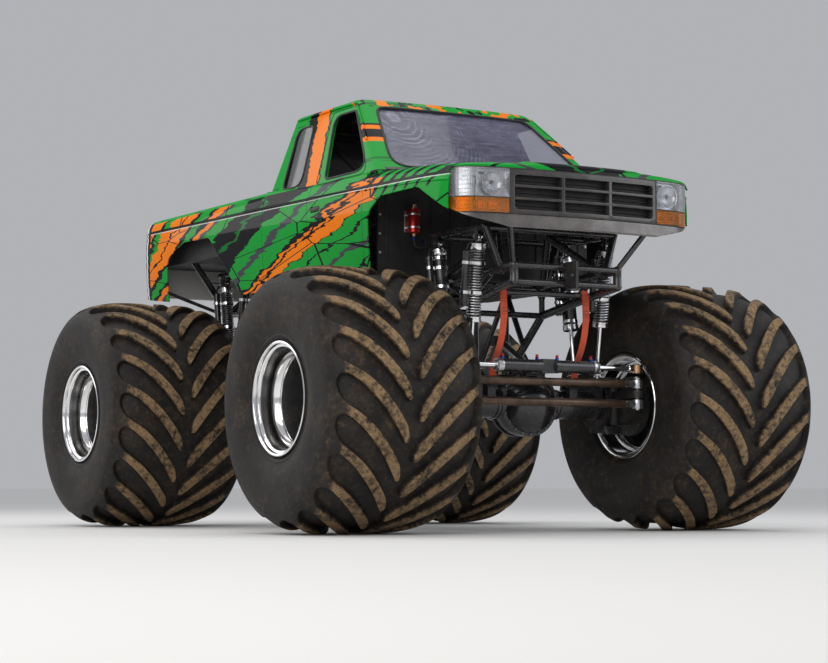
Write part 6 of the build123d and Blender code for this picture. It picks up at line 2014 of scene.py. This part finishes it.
def build_frame_detail():
    """Gusset plates, tube clamps and hard lines along the rails, and the link bars' lock nuts."""
    bm = bmesh.new()
    for side in SIDES.values():
        y = side * FRAME_Y
        # Gussets under the top rail and on the belly tube: places, height and half of the long edge, depth
        posts = (-0.8, -0.4, 0.0, 0.4, 0.8)
        for places, z, half, deep in (((-1.25, *posts, 1.25), RAIL_TOP_Z - 0.016, 0.08, -0.085),
                (posts, BELLY_Z + 0.016, 0.07, 0.075)):
            for x in places:
                plate = [(x - half, z), (x + half, z), (x + 0.02, z + deep), (x - 0.02, z + deep)]
                add_prism(bm, plate, y - 0.003, y + 0.003, ease=0.0012, angle=40, segments=1)
        for lift, radius, tone in ((-0.012, 0.0045, 1), (0.002, 0.0035, 2)):
            line = [(x, y - side * 0.034, RAIL_TOP_Z + lift) for x in (-1.22, -0.6, 0.6, 1.22)]
            add_pipe(bm, line, radius, 8, tone)
        for x in spread(-1.15, 1.15, 0.33):
            add_tube(bm, (x - 0.008, y, RAIL_TOP_Z), (x + 0.008, y, RAIL_TOP_Z), sleeve(0.027, 0.03), 1, 28)
    mesh_piece("frame_fittings", bm, [BLACK_COAT, SATIN_BLACK, STEEL_LINE])
    bm = bmesh.new()
    for end in ENDS.values():
        for side in SIDES.values():
            for seat, mount in (((-0.12, 0.185, 0.205), (0.06, 0.3, 0.25)),
                    ((-0.13, 0.42, -0.06), (-0.04, 0.33, -0.04))):
                start = Vector((end * (AXLE_X + seat[0]), side * seat[1], HUB_Z + seat[2]))
                stop = Vector((end * (0.8 + mount[0]), side * mount[1], BELLY_Z + mount[2]))
                way = (stop - start).normalized()
                for place, aim in ((start + way * 0.06, way), (stop - way * 0.06, -way)):
                    place_end = place + aim * 0.026
                    add_tube(bm, place, place_end, mm((18, 0), (28.5, 1), (31, 4), (31, 22), (28.5, -1),
                        (18, -0.1)), 1, 6)
                    for k in range(8):
                        at = place - aim * (0.006 + 0.0045 * k)
                        add_tube(bm, at, at - aim * 0.0026, mm((16.8, 0), (18.5, 1.3), (16.8, -0.1)), 1, 20)
    mesh_piece("link_lock_nuts", bm, [SATIN_METAL, DARK_METAL])


DASH_FRONT_X = 1.16


def build_firewall():
    """Ribs, edge bolts and strapped oil tanks with hoses on the dash panel's front, seen in the arches."""
    bm = bmesh.new()
    for side in SIDES.values():
        for reach in (0.12, 0.27, 0.42, 0.77):
            add_block(bm, (DASH_FRONT_X - 0.001, side * reach - 0.013, 1.8),
                (DASH_FRONT_X + 0.006, side * reach + 0.013, 2.28), 0, 0.0028)
        for reach in spread(0.05, 0.8, 0.125):
            add_bolt(bm, (DASH_FRONT_X, side * reach, 2.312), (1, 0, 0), 0.014, 3)
        for low in spread(1.84, 2.22, 0.125):
            add_bolt(bm, (DASH_FRONT_X, side * 0.822, low), (1, 0, 0), 0.014, 3)
        x, y = DASH_FRONT_X + 0.056, side * 0.595
        add_block(bm, (DASH_FRONT_X - 0.001, y - 0.045, 1.985), (DASH_FRONT_X + 0.005, y + 0.045, 2.125), 3,
            0.0015)
        add_turned(bm, mm((0.1, 1952, 4), (14, 1953, 4), (16, 1970, 1), (34, 1972, 1), (41, 1980, 1),
            (41, 2128, 1), (34, 2138, 4), (24, 2139, 4), (24, 2158, 4), (20, 2162, 4), (0.1, 2163)), 40,
            moved((x, y, 0)))
        for band in (2.005, 2.092):
            add_turned(bm, [(0.0405, band), (0.0425, band + 0.001), (0.0425, band + 0.013),
                (0.0405, band + 0.014)], 40, moved((x, y, 0)), 3)
            for low in (y - 0.034, y + 0.03):
                add_block(bm, (DASH_FRONT_X, low, band), (DASH_FRONT_X + 0.052, low + 0.004, band + 0.014), 3)
        add_bar(bm, (x, y, 1.952), (x, y, 1.93), 0.011, sides=6, paint=5, rim=0.001)
        wall = Vector((DASH_FRONT_X, y - side * 0.1, 1.93))
        add_pipe(bm, [(x, y, 1.932), (x, y, 1.885), (x + 0.01, y - side * 0.05, 1.872),
            (x, y - side * 0.096, 1.89), (DASH_FRONT_X + 0.04, wall.y, 1.926),
            (DASH_FRONT_X + 0.018, wall.y, 1.93)], 0.0075, 12, 2, 8)
        add_bar(bm, wall, wall + Vector((0.022, 0, 0)), 0.011, sides=6, paint=5, rim=0.001)
    mesh_piece("firewall_fittings", bm, [LINER_BLACK, RED_FITTING, HOSE_RUBBER, SATIN_METAL, BRONZE,
        BLUE_FITTING])


build_bed()
build_tail(LIVERY)
build_engine()
build_seat()
build_controls()
build_axle_detail()
build_frame_detail()
build_firewall()


# Studio

def build_studio():
    bpy.ops.mesh.primitive_plane_add(size=400, location=(0, 0, 0))
    floor = bpy.context.object
    floor.name = "studio_floor"
    floor.data.materials.append(Graph("studio_floor").finish((0.8, 0.79, 0.77), 0.7))
    world = bpy.data.worlds.new("studio")
    bpy.context.scene.world = world
    world.use_nodes = True
    nodes, links = world.node_tree.nodes, world.node_tree.links
    back = nodes["Background"]
    back.inputs["Color"].default_value = (0.93, 0.95, 1.0, 1)
    # The backdrop is a little darker where it is seen, straight or in a mirror, than where it lights
    path = nodes.new("ShaderNodeLightPath")
    seen = path.outputs["Is Camera Ray"]
    for ray in ("Is Transmission Ray", "Is Glossy Ray"):
        either = nodes.new("ShaderNodeMath")
        either.operation = "MAXIMUM"
        links.new(seen, either.inputs[0])
        links.new(path.outputs[ray], either.inputs[1])
        seen = either.outputs[0]
    level = nodes.new("ShaderNodeMapRange")
    links.new(seen, level.inputs["Value"])
    level.inputs["To Min"].default_value = 0.55
    level.inputs["To Max"].default_value = 0.47
    links.new(level.outputs[0], back.inputs["Strength"])
    lamps = (
        # place, power, size, colour
        ((9.0, -9.0, 7.0), 600, 9.0, (1.0, 0.97, 0.93)),
        ((7.5, 8.0, 5.5), 260, 7.0, (0.93, 0.96, 1.0)),
        ((-7.0, -6.5, 7.0), 300, 8.0, (1.0, 1.0, 1.0)),
        ((-1.0, 0.0, 9.5), 260, 8.0, (1.0, 1.0, 1.0)),
    )
    for index, (place, power, size, colour) in enumerate(lamps):
        light = bpy.data.lights.new(f"soft_lamp_{index}", "AREA")
        light.energy, light.size, light.color = power, size, colour
        lamp = bpy.data.objects.new(light.name, light)
        lamp.location = place
        lamp.rotation_euler = (Vector((0, 0, 1.3)) - Vector(place)).to_track_quat("-Z", "Y").to_euler()
        bpy.context.scene.collection.objects.link(lamp)


CAMERA_PLACE = Vector((13.65, -7.9, 0.3))
CAMERA_AIM = Vector((0.0, 0.12, 1.42))
CAMERA_LENS = 95


def build_camera():
    data = bpy.data.cameras.new("camera")
    data.lens = CAMERA_LENS
    data.sensor_width = 36
    camera = bpy.data.objects.new("camera", data)
    camera.location = CAMERA_PLACE
    camera.rotation_euler = (CAMERA_AIM - CAMERA_PLACE).to_track_quat("-Z", "Y").to_euler()
    bpy.context.scene.collection.objects.link(camera)
    bpy.context.scene.camera = camera


build_studio()
build_camera()
bpy.context.scene.view_settings.view_transform = "Standard"
